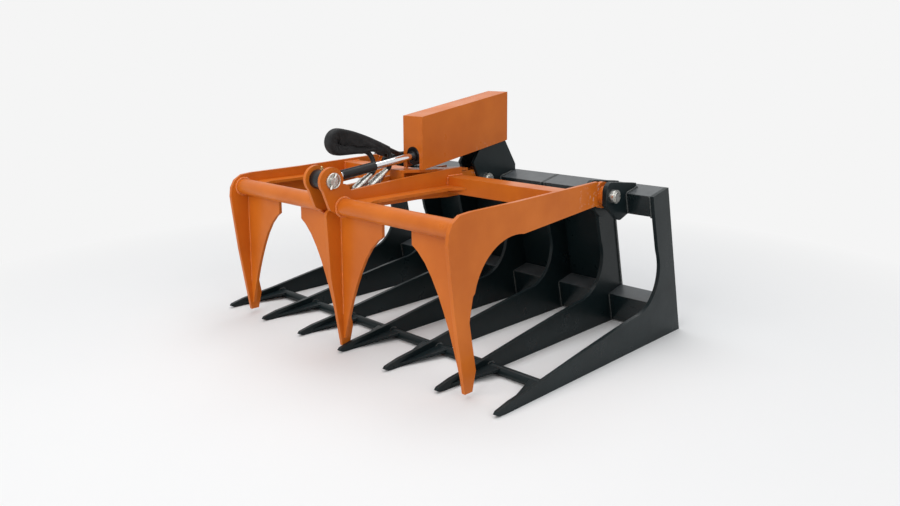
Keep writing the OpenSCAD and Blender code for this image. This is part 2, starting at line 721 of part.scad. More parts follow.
// A wall across the guard, a share of its length from the front, that holds the barrel
module guard_wall(share, r) {
    at = guard_rear + (1 - share) * guard_run;
    back = at + guard_sheet * [1, tan(guard_slope)];
    high = [0, guard_height - guard_sheet];
    difference() {
        plate(clamp_shift, inner_width) polygon([at, at + high, back + high, back]);
        on_axis() {
            shank(0, closed, r);
            translate([-r, -closed, -guard_height]) cube([2 * r, closed, guard_height]);
        }
    }
}
module guard_front() { color(orange) seat() guard_wall(0, gland_radius); }
module guard_saddle() { color(orange) seat() guard_wall(saddle_share, barrel_radius); }
saddle_share = 0.42;

// Ports on the barrel's left side, each with an elbow that turns the hose forward
port_rear = 110;
port_front = 225;
port_radius = 11;
port_height = 9;
elbow_radius = 8;
elbow_bend = 14;
elbow_run = 26;
elbow_base = 3.5;
module port_fitting(at) {
    rotate([0, 90, 0]) translate([0, -at, -barrel_radius]) {
        difference() {
            translate([0, 0, -port_height]) cylinder(r = port_radius, h = port_height + bore_wall);
            translate([0, -2 * port_radius, barrel_radius]) rotate([-90, 0, 0])
                cylinder(r = barrel_radius, h = 4 * port_radius);
        }
        translate([0, 0, -port_height - elbow_base]) cylinder(r = port_radius, h = elbow_base, $fn = 6);
        translate([0, -elbow_bend, -port_height - elbow_base]) rotate([0, 90, 0])
            rotate_extrude(angle = 90) translate([elbow_bend, 0]) circle(r = elbow_radius);
        translate([0, -elbow_bend, -port_height - elbow_base - elbow_bend]) rotate([90, 0, 0])
            cylinder(r = elbow_radius, h = elbow_run - elbow_bend);
    }
}
module port_fittings() {
    color(zinc) seat() on_axis() { port_fitting(port_rear); port_fitting(port_front); }
}

// Hoses: each swept along its route, ending in a quick coupler
hose_radius = 6.5;
hose_sides = 10;
route_a = [[-64.5, -320.2, 492.1], [-64.5, -338, 490], [-64.5, -356, 485.5], [-64.5, -374, 479],
           [-64.5, -392, 472], [-64.5, -410, 466.5], [-64.5, -430, 463], [-64.5, -450, 461],
           [-63.5, -470, 461], [-62, -490, 462.5], [-60, -508, 466], [-57.5, -527, 473.5],
           [-55.5, -548, 484], [-54, -580, 501], [-54, -620, 522], [-54, -660, 541], [-54, -685, 550],
           [-54, -702, 553], [-54, -715, 549.5], [-54, -724.5, 540], [-54, -728, 527], [-54, -724.5, 514],
           [-54, -715, 504.5], [-54, -702, 501], [-54, -680, 500.5], [-54, -655, 500], [-54, -637, 499],
           [-54, -620, 497], [-52, -606.5, 493.4], [-48.5, -596.6, 483.5], [-43.5, -593, 470],
           [-38, -595.6, 457], [-32.5, -600.6, 449.5], [-27, -606.7, 443.6], [-27, -615, 438]];
route_b = [[-64.5, -434.5, 479.5], [-64.5, -452, 477.6], [-63, -470, 476.8], [-59.5, -486, 477.8],
           [-53, -500, 480.5], [-46.5, -513, 484.5], [-42, -527, 489.5], [-40, -545, 497],
           [-40, -580, 513], [-40, -620, 530], [-40, -660, 544], [-40, -685, 550], [-40, -702, 553],
           [-40, -715, 549.5], [-40, -724.5, 540], [-40, -728, 527], [-40, -724.5, 514],
           [-40, -715, 504.5], [-40, -702, 501], [-40, -680, 500.5], [-40, -655, 500.5],
           [-40, -620, 500.5], [-39, -590, 500.5], [-38, -567, 500.5], [-38, -553.5, 496.9],
           [-38, -543.6, 487], [-37.5, -540, 473.5], [-35, -542.5, 461.5], [-31, -547.5, 455],
           [-26.5, -553.7, 449.9], [-26.5, -562, 444.3]];

function unit(v) = v / norm(v);
function along(p, i) = unit(p[min(i + 1, len(p) - 1)] - p[max(i - 1, 0)]);
// Side vectors carried along the route without twist
function carried(p, i, u) = let (t = along(p, i), n = unit(u - (u * t) * t))
    i == len(p) - 1 ? [n] : concat([n], carried(p, i + 1, n));
module sweep(p, r, sides) {
    n = carried(p, 0, [1, 0, 0]);
    rings = [for (i = [0:len(p) - 1]) let (t = along(p, i), m = cross(t, n[i]))
             for (k = [0:sides - 1]) p[i] + r * (cos(360 * k / sides) * n[i] + sin(360 * k / sides) * m)];
    last = (len(p) - 1) * sides;
    polyhedron(rings, concat(
        [[for (k = [0:sides - 1]) k]], [[for (k = [0:sides - 1]) last + sides - 1 - k]],
        [for (i = [0:len(p) - 2], k = [0:sides - 1]) let (a = i * sides + k, b = i * sides + (k + 1) % sides)
             [a, a + sides, b + sides, b]]), convexity = 10);
}
module hose_a() { color(rubber) seat() sweep(route_a, hose_radius, hose_sides); }
module hose_b() { color(rubber) seat() sweep(route_b, hose_radius, hose_sides); }

coupler_radius = 11.5;
coupler_length = 74;
seat_gap = 0.1;                 // a coupler's end from the hose's end
coupler_drop = 34;              // slope of the hanging couplers, in degrees
coupler_shares = [[0.62, 0], [0.62, 0.20], [0.80, 0.20], [0.80, 0.34], [1, 0.36], [1, 0.52], [0.90, 0.53],
                  [0.90, 0.57], [1, 0.58], [1, 0.84], [0.94, 0.87], [0.72, 0.87], [0.72, 1], [0, 1], [0, 0]];
module coupler(route) {
    end = route[len(route) - 1];
    color(zinc) seat() translate(end) rotate([coupler_drop, 0, 0]) rotate([90, 0, 0]) translate([0, 0, seat_gap])
        rotate_extrude() polygon([for (s = coupler_shares) [s[0] * coupler_radius, s[1] * coupler_length]]);
}
module coupler_a() { coupler(route_a); }
module coupler_b() { coupler(route_b); }

tine_1();
tine_2();
tine_3();
tine_4();
tine_5();
tine_6();
tine_7();
tip_gussets();
top_tube();
lower_tube();
front_bar();
bracket_left();
bracket_right();
tower();
hinge_pins();
hinge_collars();
tower_pin();
carrier_plate();
carrier_hook();
carrier_ledge();
arm_left();
arm_right();
middle_plate_left();
middle_plate_right();
middle_tooth();
front_tube_left();
front_tube_right();
rear_tube();
tail_box();
tail_sides();
hinge_bosses();
wing_left();
wing_right();
wing_middle_left();
wing_middle_right();
flange_left();
flange_right();
flange_middle_left();
flange_middle_right();
clevis_pin();
clevis_washers();
lynch_pins();
barrel();
gland();
wiper();
barrel_eye();
guard();
guard_front();
guard_saddle();
port_fittings();
coupler_a();
coupler_b();
hose_a();
hose_b();
rod();
piston();
rod_sleeve();
rod_eye();
eye_bush();
grease_fitting();
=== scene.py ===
"""Photo-like scene of the skeleton grapple: finishes, welds, hoses, floor, lights and camera."""

import json
import logging
import math
from dataclasses import dataclass
from enum import Enum
from functools import cache, partial
from typing import Callable, Sequence

import bmesh
import bpy
from bmesh.types import BMesh
from bpy.types import ID, Material, Node, NodeSocket, NodeTree, Object
from mathutils import Matrix, Vector

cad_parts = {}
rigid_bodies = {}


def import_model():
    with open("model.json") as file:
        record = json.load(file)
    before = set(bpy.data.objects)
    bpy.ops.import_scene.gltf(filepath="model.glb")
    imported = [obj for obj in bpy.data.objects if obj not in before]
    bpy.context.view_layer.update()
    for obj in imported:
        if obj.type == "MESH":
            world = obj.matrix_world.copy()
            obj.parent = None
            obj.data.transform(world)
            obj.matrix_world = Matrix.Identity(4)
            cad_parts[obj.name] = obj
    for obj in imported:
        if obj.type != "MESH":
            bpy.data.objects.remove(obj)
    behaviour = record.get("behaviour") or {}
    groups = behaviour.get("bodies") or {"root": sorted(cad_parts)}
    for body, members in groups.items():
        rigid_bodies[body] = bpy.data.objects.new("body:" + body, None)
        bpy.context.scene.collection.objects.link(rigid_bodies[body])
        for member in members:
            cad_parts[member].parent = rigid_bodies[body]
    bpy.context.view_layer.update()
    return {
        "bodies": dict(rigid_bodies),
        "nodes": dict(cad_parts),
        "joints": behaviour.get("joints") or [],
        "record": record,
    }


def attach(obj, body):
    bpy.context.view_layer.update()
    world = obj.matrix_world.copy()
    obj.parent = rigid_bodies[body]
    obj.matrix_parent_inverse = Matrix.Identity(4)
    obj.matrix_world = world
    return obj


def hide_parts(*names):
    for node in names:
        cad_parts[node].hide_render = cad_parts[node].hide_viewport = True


logging.basicConfig(level=logging.INFO, format="%(levelname)s %(message)s")
log = logging.getLogger("grapple")

Point = tuple[float, float, float]
Color = tuple[float, float, float]
Tones = tuple[Color, Color, Color]
Paths = Sequence[Sequence[Vector]]
MM = 0.001


class Slot(Enum):
    """Material slots of the record."""

    FRAME = "frame_paint"
    CLAMP = "clamp_paint"
    CYLINDER = "cylinder_paint"
    ZINC = "zinc"
    CHROME = "chrome"
    SLEEVE = "sleeve"
    BRONZE = "bronze"
    HOSE = "hose_cover"


@dataclass(frozen=True)
class Sizes:
    """Sizes in millimetres, as in the CAD source. Depth y is counted from the rear bottom edge."""

    overall_width: float = 1067
    base_length: float = 752
    frame_height: float = 403
    rear_lean: float = 12
    tine_count: int = 7
    tine_thickness: float = 10
    top_tube_depth: float = 75
    top_tube_height: float = 56
    low_tube_depth: float = 64
    low_tube_height: float = 78
    tube_wall: float = 6
    front_bar_radius: float = 12
    front_bar_share: float = 0.767
    hinge_y: float = -222
    hinge_z: float = 388
    ear_gap: float = 42
    ear_thickness: float = 12
    tower_thickness: float = 10
    clamp_shift: float = -14
    arm_spacing: float = 433
    arm_thickness: float = 10
    middle_gap: float = 50
    clevis_y: float = -772
    clevis_radius: float = 34
    front_tube_y: float = -740
    front_tube_z: float = 376
    front_tube_radius: float = 22
    rear_tube_y: float = -383
    rear_tube_z: float = 367
    rear_tube_depth: float = 56
    rear_tube_height: float = 45
    wing_front: float = -728
    ledge_depth: float = 42
    carrier_bottom: float = 60
    carrier_top: float = 328
    carrier_thickness: float = 8

    @property
    def shift(self) -> float:
        """How far the CAD model stands behind its own drawing origin.

        Returns:
            The shift along Y in millimetres.
        """
        lean = math.radians(self.rear_lean)
        ledge = self.carrier_bottom - self.carrier_thickness
        reach = self.ledge_depth * math.cos(lean) - ledge * math.sin(lean)
        return (-self.clevis_y + self.clevis_radius - reach) / 2

    @property
    def pitch(self) -> float:
        """Distance between two tines.

        Returns:
            The pitch in millimetres.
        """
        return (self.overall_width - self.tine_thickness) / (self.tine_count - 1)

    def tine_x(self, index: int) -> float:
        """Middle of a tine.

        Args:
            index: Tine number from the left, from 0.

        Returns:
            Its place along X in millimetres.
        """
        return (index - (self.tine_count - 1) / 2) * self.pitch

    def lean(self, u: float, v: float) -> tuple[float, float]:
        """A point at height u along the rear edge and v ahead of it.

        Args:
            u: Distance up the leaning edge.
            v: Distance ahead of it.

        Returns:
            The point's y and z in millimetres.
        """
        a = math.radians(self.rear_lean)
        return -(u * math.sin(a) + v * math.cos(a)), u * math.cos(a) - v * math.sin(a)

    def at(self, x: float, y: float, z: float) -> Vector:
        """A drawing point in the scene's frame.

        Args:
            x: Across, in millimetres.
            y: Depth from the rear bottom edge, in millimetres.
            z: Height, in millimetres.

        Returns:
            The point in metres.
        """
        return Vector((x, y + self.shift, z)) * MM


S = Sizes()

# The third tone of each is the lighter colour of scratches and of edges, where it is part wear and
# part painted highlight.
ORANGE: Tones = ((0.625, 0.156, 0.013), (0.52, 0.118, 0.009), (0.80, 0.31, 0.070))
BLACK: Tones = ((0.0060, 0.0125, 0.0142), (0.0038, 0.0080, 0.0092), (0.10, 0.115, 0.11))
SOOT: Tones = ((0.006, 0.006, 0.007), (0.004, 0.004, 0.005), (0.06, 0.06, 0.06))
BLACK_WELD: Color = (0.012, 0.017, 0.017)
BACKDROP: Color = (0.913, 0.913, 0.913)
CHIP: Color = (0.62, 0.58, 0.54)
# Grey put onto faces that point up: real dust on most paints, and a painted sheen on the glossy
# black tubes' tops.
DUST: Color = (0.34, 0.36, 0.38)


@dataclass(frozen=True)
class PaintLook:
    """A sprayed finish: tones, then shares. The peel's scale is per metre, the bevel in metres."""

    base: Color
    deep: Color
    # Lighter tone of scratches and edges; on the edges partly a painted highlight.
    edge: Color
    rough: float
    peel: float
    # How much the edges go lighter: wear, and painted highlight.
    wear_and_highlight: float
    # Share of that grey on up-facing faces: dust, and painted sheen where the share is large.
    dust_and_sheen: float
    coat: float
    specular: float
    rough_spread: float = 0.10
    peel_scale: float = 330.0
    bevel: float = 0.0012
    chipped: float = 0.0


@dataclass(frozen=True)
class Looks:
    """All paints of the grapple."""

    clamp: PaintLook = PaintLook(
        *ORANGE, rough=0.32, peel=0.14, wear_and_highlight=0.34, dust_and_sheen=0.015, coat=0.05, specular=0.22,
        chipped=0.65)
    frame: PaintLook = PaintLook(
        *BLACK, rough=0.30, peel=0.18, wear_and_highlight=0.34, dust_and_sheen=0.015, coat=0.0, specular=0.20)
    # The tubes' large grey share on up-facing faces is mostly a painted sheen on their glossy tops,
    # partly dust.
    tube: PaintLook = PaintLook(
        *BLACK, rough=0.20, peel=0.16, wear_and_highlight=0.30, dust_and_sheen=0.28, coat=0.20, specular=0.42, bevel=0.0055)
    orange_tube: PaintLook = PaintLook(
        *ORANGE, rough=0.34, peel=0.14, wear_and_highlight=0.22, dust_and_sheen=0.015, coat=0.05, specular=0.22,
        bevel=0.004)
    cylinder: PaintLook = PaintLook(
        *SOOT, rough=0.30, peel=0.08, wear_and_highlight=0.25, dust_and_sheen=0.02, coat=0.05, specular=0.28)


LOOKS = Looks()


@dataclass(frozen=True)
class Patches:
    """Noise behind a soft threshold from low to high: blotches, specks or streaks."""

    scale: float
    low: float
    high: float
    detail: float = 3.0
    rough: float = 0.5
    stretch: Point | None = None
    turn: Point = (0.0, 0.0, 0.0)


def put(tree: NodeTree, socket: NodeSocket, value) -> None:
    """Links or sets a node's input, whichever the value asks for.

    Args:
        tree: Node tree of the socket.
        socket: Input socket.
        value: Output socket, number, vector or colour.
    """
    if isinstance(value, NodeSocket):
        tree.links.new(value, socket)
    elif isinstance(value, tuple) and len(value) == 3 and socket.type == "RGBA":
        socket.default_value = (*value, 1.0)
    else:
        socket.default_value = value


def add_node(tree: NodeTree, kind: str, inputs: dict | None = None, **settings) -> Node:
    """Adds a node to a tree.

    Args:
        tree: Node tree.
        kind: The node's type.
        inputs: What goes into its inputs, by name or number.
        settings: Its own properties.

    Returns:
        The node.
    """
    made = tree.nodes.new(kind)
    for key, value in settings.items():
        setattr(made, key, value)
    for key, value in (inputs or {}).items():
        put(tree, made.inputs[key], value)
    return made


def seen_rays(tree: NodeTree) -> NodeSocket:
    """One for rays from the camera, a mirror or glass, so that all of them show the backdrop.

    Args:
        tree: Node tree to add to.

    Returns:
        A mask socket.
    """
    rays = add_node(tree, "ShaderNodeLightPath").outputs
    total = rays["Is Camera Ray"]
    for kind in ("Is Glossy Ray", "Is Transmission Ray"):
        inputs = {0: total, 1: rays[kind]}
        total = add_node(tree, "ShaderNodeMath", inputs, operation="MAXIMUM").outputs[0]
    return total


def new_object(name: str, data: ID) -> Object:
    """Puts data into the scene as an object.

    Args:
        name: Its name.
        data: Mesh, curve, camera or light.

    Returns:
        The object.
    """
    obj = bpy.data.objects.new(name, data)
    bpy.context.scene.collection.objects.link(obj)
    return obj


class Nodes:
    """A small builder for one procedural material."""

    EDGE_MASK = (0.006, 0.2)
    UP_MASK = (0.35, 0.95)
    HINGE_REACH = (0.045, 0.12)
    COAT_ROUGH = 0.12

    def __init__(self, name: str) -> None:
        """Starts an empty node tree with a principled shader.

        Args:
            name: Material name.
        """
        self.material = bpy.data.materials.new(name)
        self.material.use_nodes = True
        self.tree = self.material.node_tree
        self.tree.nodes.clear()
        self.node: Callable[..., Node] = partial(add_node, self.tree)
        self.shader = self.node("ShaderNodeBsdfPrincipled")
        self.out = self.node("ShaderNodeOutputMaterial", {"Surface": self.shader.outputs[0]})
        self.coord = self.node("ShaderNodeTexCoord").outputs["Object"]

    def stretched(self, scale: Point, turn: Point = (0.0, 0.0, 0.0)) -> NodeSocket:
        """Object coordinates, scaled and turned.

        Args:
            scale: Scale along each axis.
            turn: Rotation in degrees.

        Returns:
            A vector socket.
        """
        radians = [math.radians(a) for a in turn]
        inputs = {"Scale": scale, "Rotation": radians, "Vector": self.coord}
        return self.node("ShaderNodeMapping", inputs).outputs[0]

    def noise(self, scale: float, detail: float = 3.0, rough: float = 0.5,
              vector: NodeSocket | None = None) -> NodeSocket:
        """A noise texture.

        Args:
            scale: Scale of its features.
            detail: Octaves.
            rough: Roughness of the octaves.
            vector: Coordinates, or the object's own.

        Returns:
            Its value socket.
        """
        inputs = {"Scale": scale, "Detail": detail, "Roughness": rough,
                  "Vector": vector or self.coord}
        return self.node("ShaderNodeTexNoise", inputs).outputs[0]

    def patches(self, look: Patches, to_low: float = 0.0, to_high: float = 1.0) -> NodeSocket:
        """Noise patches as a mask, or as another range.

        Args:
            look: The noise and its threshold.
            to_low: Value outside the patches.
            to_high: Value inside them.

        Returns:
            The value socket.
        """
        vector = self.stretched(look.stretch, look.turn) if look.stretch else None
        noise = self.noise(look.scale, look.detail, look.rough, vector)
        return self.spread(noise, look.low, look.high, to_low, to_high)

    def wave(self, scale: float, distortion: float, direction: str,
             tilt: float = 0.0) -> NodeSocket:
        """A wave texture.

        Args:
            scale: Waves per unit.
            distortion: How far they bend.
            direction: Axis of the bands.
            tilt: Turn about X in degrees.

        Returns:
            Its value socket.
        """
        vector = self.stretched((1.0, 1.0, 1.0), (tilt, 0.0, 0.0)) if tilt else self.coord
        inputs = {"Scale": scale, "Distortion": distortion, "Vector": vector}
        return self.node("ShaderNodeTexWave", inputs, bands_direction=direction).outputs[1]

    def spread(self, value: NodeSocket, low: float, high: float, to_low: float = 0.0,
               to_high: float = 1.0) -> NodeSocket:
        """Maps a range onto another, clamped.

        Args:
            value: Input socket.
            low: Start of the range.
            high: End of the range.
            to_low: What the start becomes.
            to_high: What the end becomes.

        Returns:
            The mapped socket.
        """
        inputs = dict(enumerate((value, low, high, to_low, to_high)))
        return self.node("ShaderNodeMapRange", inputs).outputs[0]

    def math(self, operation: str, a, b) -> NodeSocket:
        """A math node.

        Args:
            operation: Its operation.
            a: First value.
            b: Second value.

        Returns:
            Its result socket.
        """
        return self.node("ShaderNodeMath", {0: a, 1: b}, operation=operation).outputs[0]

    def times(self, a, b) -> NodeSocket:
        """Multiplies two values.

        Args:
            a: First value.
            b: Second value.

        Returns:
            The product socket.
        """
        return self.math("MULTIPLY", a, b)

    def vectors(self, operation: str, a: NodeSocket, b=(0.0, 0.0, 0.0),
                result: str = "Value") -> NodeSocket:
        """A vector math node.

        Args:
            operation: Its operation.
            a: First vector.
            b: Second vector.
            result: Name of the output.

        Returns:
            Its result socket.
        """
        return self.node("ShaderNodeVectorMath", {0: a, 1: b}, operation=operation).outputs[result]

    def mix(self, factor, a, b) -> NodeSocket:
        """Mixes two colours.

        Args:
            factor: Share of the second.
            a: First colour.
            b: Second colour.

        Returns:
            The mixed colour socket.
        """
        return self.node("ShaderNodeMix", {0: factor, 6: a, 7: b}, data_type="RGBA").outputs[2]

    def normal(self, height: NodeSocket, strength: float, distance: float,
               base: NodeSocket | None = None) -> NodeSocket:
        """Bumps the surface.

        Args:
            height: Height socket.
            strength: Strength of the bump.
            distance: Its depth in metres.
            base: Normal under it.

        Returns:
            The normal socket.
        """
        inputs = {"Strength": strength, "Distance": distance, "Height": height}
        if base is not None:
            inputs["Normal"] = base
        return self.node("ShaderNodeBump", inputs).outputs[0]

    def rounded(self, radius: float) -> NodeSocket:
        """A normal that rounds sharp edges.

        Args:
            radius: Radius in metres.

        Returns:
            The normal socket.
        """
        return self.node("ShaderNodeBevel", {"Radius": radius}, samples=4).outputs[0]

    def edges(self, rounded: NodeSocket) -> NodeSocket:
        """How near the surface is to an edge, from its rounded normal.

        Args:
            rounded: Rounded normal.

        Returns:
            A mask socket.
        """
        flat = self.node("ShaderNodeNewGeometry").outputs["True Normal"]
        bent = self.math("SUBTRACT", 1.0, self.vectors("DOT_PRODUCT", rounded, flat))
        return self.spread(bent, *self.EDGE_MASK)

    def facing_up(self) -> NodeSocket:
        """How far the surface faces up.

        Returns:
            A mask socket.
        """
        normal = self.node("ShaderNodeNewGeometry").outputs["Normal"]
        up = self.node("ShaderNodeSeparateXYZ", {0: normal}).outputs["Z"]
        return self.spread(up, *self.UP_MASK)

    def near_hinge(self) -> NodeSocket:
        """How near a point is to the clamp's hinge axis, where paint gets chipped.

        Returns:
            A mask socket.
        """
        axis = (0.0, *S.at(0, S.hinge_y, S.hinge_z)[1:])
        offset = self.vectors("SUBTRACT", self.stretched((0.0, 1.0, 1.0)), axis, "Vector")
        return self.spread(self.vectors("LENGTH", offset), *self.HINGE_REACH, 1.0, 0.0)

    def finish(self, color, rough, normal: NodeSocket, metallic: float = 0.0, coat: float = 0.0,
               specular: float = 0.5, sheen: float = 0.0) -> Material:
        """Sets the shader's inputs and returns the material.

        Args:
            color: Base colour.
            rough: Roughness.
            normal: Normal socket.
            metallic: Metallic share.
            coat: Clear coat.
            specular: Specular level.
            sheen: Fabric sheen.

        Returns:
            The finished material.
        """
        inputs = {"Base Color": color, "Roughness": rough, "Normal": normal, "Metallic": metallic,
                  "Coat Weight": coat, "Coat Roughness": self.COAT_ROUGH,
                  "Specular IOR Level": specular, "Sheen Weight": sheen}
        for key, value in inputs.items():
            put(self.tree, self.shader.inputs[key], value)
        return self.material


class Finishes:
    """Makes each material once."""

    PAINT_TONE = Patches(7.0, 0.35, 0.68, detail=4.0)
    PAINT_STREAKS = Patches(30.0, 0.45, 0.75, detail=5.0, rough=0.6, stretch=(1.0, 1.0, 0.18))
    # Patches along edges that go lighter: wear, and painted highlight.
    PAINT_EDGE_WEAR_AND_HIGHLIGHT = Patches(90.0, 0.42, 0.62, detail=4.0, rough=0.7)
    PAINT_SCRATCHES = Patches(160.0, 0.68, 0.74, detail=6.0, rough=0.8, stretch=(1.0, 0.07, 0.35),
                              turn=(0.0, 28.0, 12.0))
    PAINT_CHIPS = Patches(95.0, 0.57, 0.62, detail=7.0, rough=0.8)
    # Patches of grey on up-facing faces: dust, and painted sheen.
    PAINT_DUST_AND_SHEEN = Patches(18.0, 0.3, 0.8, detail=5.0, rough=0.65)
    PAINT_ROUGH = Patches(14.0, 0.3, 0.7, detail=5.0, rough=0.6)
    PAINT_WAVES = 26.0
    STREAK_SHARE, SCRATCH_SHARE = 0.22, 0.12
    PIT_SCALE = 900.0
    WEAR_GAIN, DUST_ROUGH = 1.6, 1.4
    WELD_TONE = Patches(120.0, 0.4, 0.7)
    ZINC_TONE = Patches(70.0, 0.35, 0.7, detail=4.0, rough=0.6)
    ZINC_STAINS = Patches(230.0, 0.6, 0.75, detail=5.0, rough=0.75)
    ZINC_ROUGH = Patches(110.0, 0.3, 0.7, detail=4.0)
    CHROME_SMEARS = Patches(22.0, 0.4, 0.75, detail=4.0, rough=0.6)
    BRONZE_TONE = Patches(90.0, 0.35, 0.7, detail=4.0)
    BRONZE_ROUGH = Patches(150.0, 0.3, 0.7)
    PLASTIC_TONE = Patches(40.0, 0.35, 0.7, detail=4.0)
    PLASTIC_ROUGH = Patches(60.0, 0.3, 0.7)
    RUBBER_BLOOM = Patches(34.0, 0.45, 0.75, detail=5.0, rough=0.65)
    YELLOW_TONE = Patches(260.0, 0.35, 0.7, detail=4.0, rough=0.6)
    YELLOW_ROUGH = Patches(300.0, 0.3, 0.7)
    WEAVE_WORN = Patches(34.0, 0.45, 0.72, detail=5.0, rough=0.65)
    FLOOR_TONE = Patches(1.3, 0.3, 0.7)
    FLOOR_FADE = (0.80, 1.75)
    WEAVE_TILT = 38.0
    SLEEVE_TILT = 10.31
    WRAP_TILT = 24.0

    @cache
    def paint(self, name: str, look: PaintLook) -> Material:
        """Sprayed paint, orange peel, edge wear and painted highlight, top dust and painted sheen.

        Args:
            name: Its key.
            look: What it looks like.

        Returns:
            The material.
        """
        n = Nodes(name)
        rounded = n.rounded(look.bevel)
        color = n.mix(n.patches(self.PAINT_TONE), look.base, look.deep)
        color = n.mix(n.times(n.patches(self.PAINT_STREAKS), self.STREAK_SHARE), color, look.base)
        # Edges go lighter in patches: wear, and a painted highlight along rounded edges.
        edge_wear_and_highlight = n.times(n.patches(self.PAINT_EDGE_WEAR_AND_HIGHLIGHT), look.wear_and_highlight * self.WEAR_GAIN)
        color = n.mix(n.times(n.edges(rounded), edge_wear_and_highlight), color, look.edge)
        scratches = n.times(n.patches(self.PAINT_SCRATCHES), self.SCRATCH_SHARE)
        color = n.mix(scratches, color, look.edge)
        if look.chipped:
            chips = n.times(n.near_hinge(), n.patches(self.PAINT_CHIPS))
            color = n.mix(n.times(chips, look.chipped), color, CHIP)
        # Up-facing faces go towards grey: dust, and on the black tubes a painted sheen on their
        # tops.
        dust_and_sheen_mask = n.times(n.facing_up(), n.patches(self.PAINT_DUST_AND_SHEEN, 0.3, 1.0))
        color = n.mix(n.times(dust_and_sheen_mask, look.dust_and_sheen), color, DUST)
        smooth, matt = look.rough - look.rough_spread / 2, look.rough + look.rough_spread
        dull = n.times(dust_and_sheen_mask, look.dust_and_sheen * self.DUST_ROUGH)
        rough = n.math("ADD", n.patches(self.PAINT_ROUGH, smooth, matt), dull)
        peel = n.normal(n.noise(look.peel_scale, 2.0), look.peel, 0.0006, rounded)
        wavy = n.normal(n.noise(self.PAINT_WAVES, 2.0), 0.05, 0.004, peel)
        return n.finish(color, rough, wavy, coat=look.coat, specular=look.specular)

    @cache
    def weld(self, name: str, base: Color) -> Material:
        """Painted weld metal, a little rougher than the plate.

        Args:
            name: Its key.
            base: Paint colour.

        Returns:
            The material.
        """
        n = Nodes(name)
        bumps = n.noise(420.0, 4.0, 0.65)
        light = tuple(min(1.0, c * 1.2 + 0.004) for c in base)
        color = n.mix(n.patches(self.WELD_TONE), base, light)
        rough = n.spread(bumps, 0.3, 0.7, 0.17, 0.36)
        return n.finish(color, rough, n.normal(bumps, 0.35, 0.0006), coat=0.25)

    @cache
    def zinc(self) -> Material:
        """Bright zinc plating with turning marks and a faint passivate tint.

        Returns:
            The material.
        """
        n = Nodes("zinc")
        color = n.mix(n.patches(self.ZINC_TONE), (0.66, 0.66, 0.64), (0.50, 0.49, 0.44))
        color = n.mix(n.times(n.patches(self.ZINC_STAINS), 0.4), color, (0.30, 0.29, 0.27))
        turned = n.normal(n.wave(520.0, 1.5, "X"), 0.12, 0.0002, n.rounded(0.0006))
        bump = n.normal(n.noise(600.0, 3.0), 0.12, 0.0003, turned)
        return n.finish(color, n.patches(self.ZINC_ROUGH, 0.22, 0.42), bump, metallic=1.0)

    @cache
    def chrome(self) -> Material:
        """Hard chrome of the rod, with fine grinding marks.

        Returns:
            The material.
        """
        n = Nodes("chrome")
        ground = n.noise(700.0, 3.0, 0.6, n.stretched((0.06, 1.0, 0.06)))
        color = n.mix(n.spread(ground, 0.4, 0.6), (0.80, 0.81, 0.83), (0.70, 0.71, 0.73))
        rough = n.patches(self.CHROME_SMEARS, 0.07, 0.20)
        return n.finish(color, rough, n.normal(ground, 0.06, 0.0002), metallic=1.0)

    @cache
    def bronze(self) -> Material:
        """Sintered bronze of the bush.

        Returns:
            The material.
        """
        n = Nodes("bronze")
        color = n.mix(n.patches(self.BRONZE_TONE), (0.46, 0.28, 0.11), (0.27, 0.16, 0.07))
        inputs = {"Scale": self.PIT_SCALE, "Vector": n.coord}
        pits = n.node("ShaderNodeTexVoronoi", inputs).outputs["Distance"]
        bump = n.normal(pits, 0.25, 0.0003, n.rounded(0.0006))
        return n.finish(color, n.patches(self.BRONZE_ROUGH, 0.32, 0.5), bump, metallic=0.9)

    @cache
    def plastic(self) -> Material:
        """Moulded black plastic of the rod's sleeve.

        Returns:
            The material.
        """
        n = Nodes("sleeve_plastic")
        color = n.mix(n.patches(self.PLASTIC_TONE), (0.007, 0.007, 0.0075), (0.016, 0.016, 0.017))
        grain = n.normal(n.noise(900.0, 2.0), 0.25, 0.0003, n.rounded(0.001))
        lines = n.normal(n.wave(95.0, 0.3, "Y", self.SLEEVE_TILT), 0.06, 0.0004, grain)
        return n.finish(color, n.patches(self.PLASTIC_ROUGH, 0.30, 0.46), lines, specular=0.3)

    @cache
    def rubber(self) -> Material:
        """Black hose rubber with a fine wrapped texture.

        Returns:
            The material.
        """
        n = Nodes("hose_rubber")
        bloom = n.times(n.patches(self.RUBBER_BLOOM), 0.5)
        color = n.mix(bloom, (0.0075, 0.0075, 0.008), (0.022, 0.022, 0.023))
        grain = n.noise(900.0, 3.0, 0.6)
        wrap = n.normal(n.wave(330.0, 0.5, "Y", self.WRAP_TILT), 0.28, 0.0005)
        rough = n.spread(grain, 0.3, 0.7, 0.42, 0.60)
        return n.finish(color, rough, n.normal(grain, 0.2, 0.0003, wrap), specular=0.32)

    @cache
    def yellow_zinc(self) -> Material:
        """Yellow passivated steel of the grease nipple.

        Returns:
            The material.
        """
        n = Nodes("yellow_zinc")
        color = n.mix(n.patches(self.YELLOW_TONE), (0.62, 0.46, 0.17), (0.50, 0.40, 0.24))
        rough = n.patches(self.YELLOW_ROUGH, 0.24, 0.40)
        return n.finish(color, rough, n.rounded(0.0004), metallic=1.0)

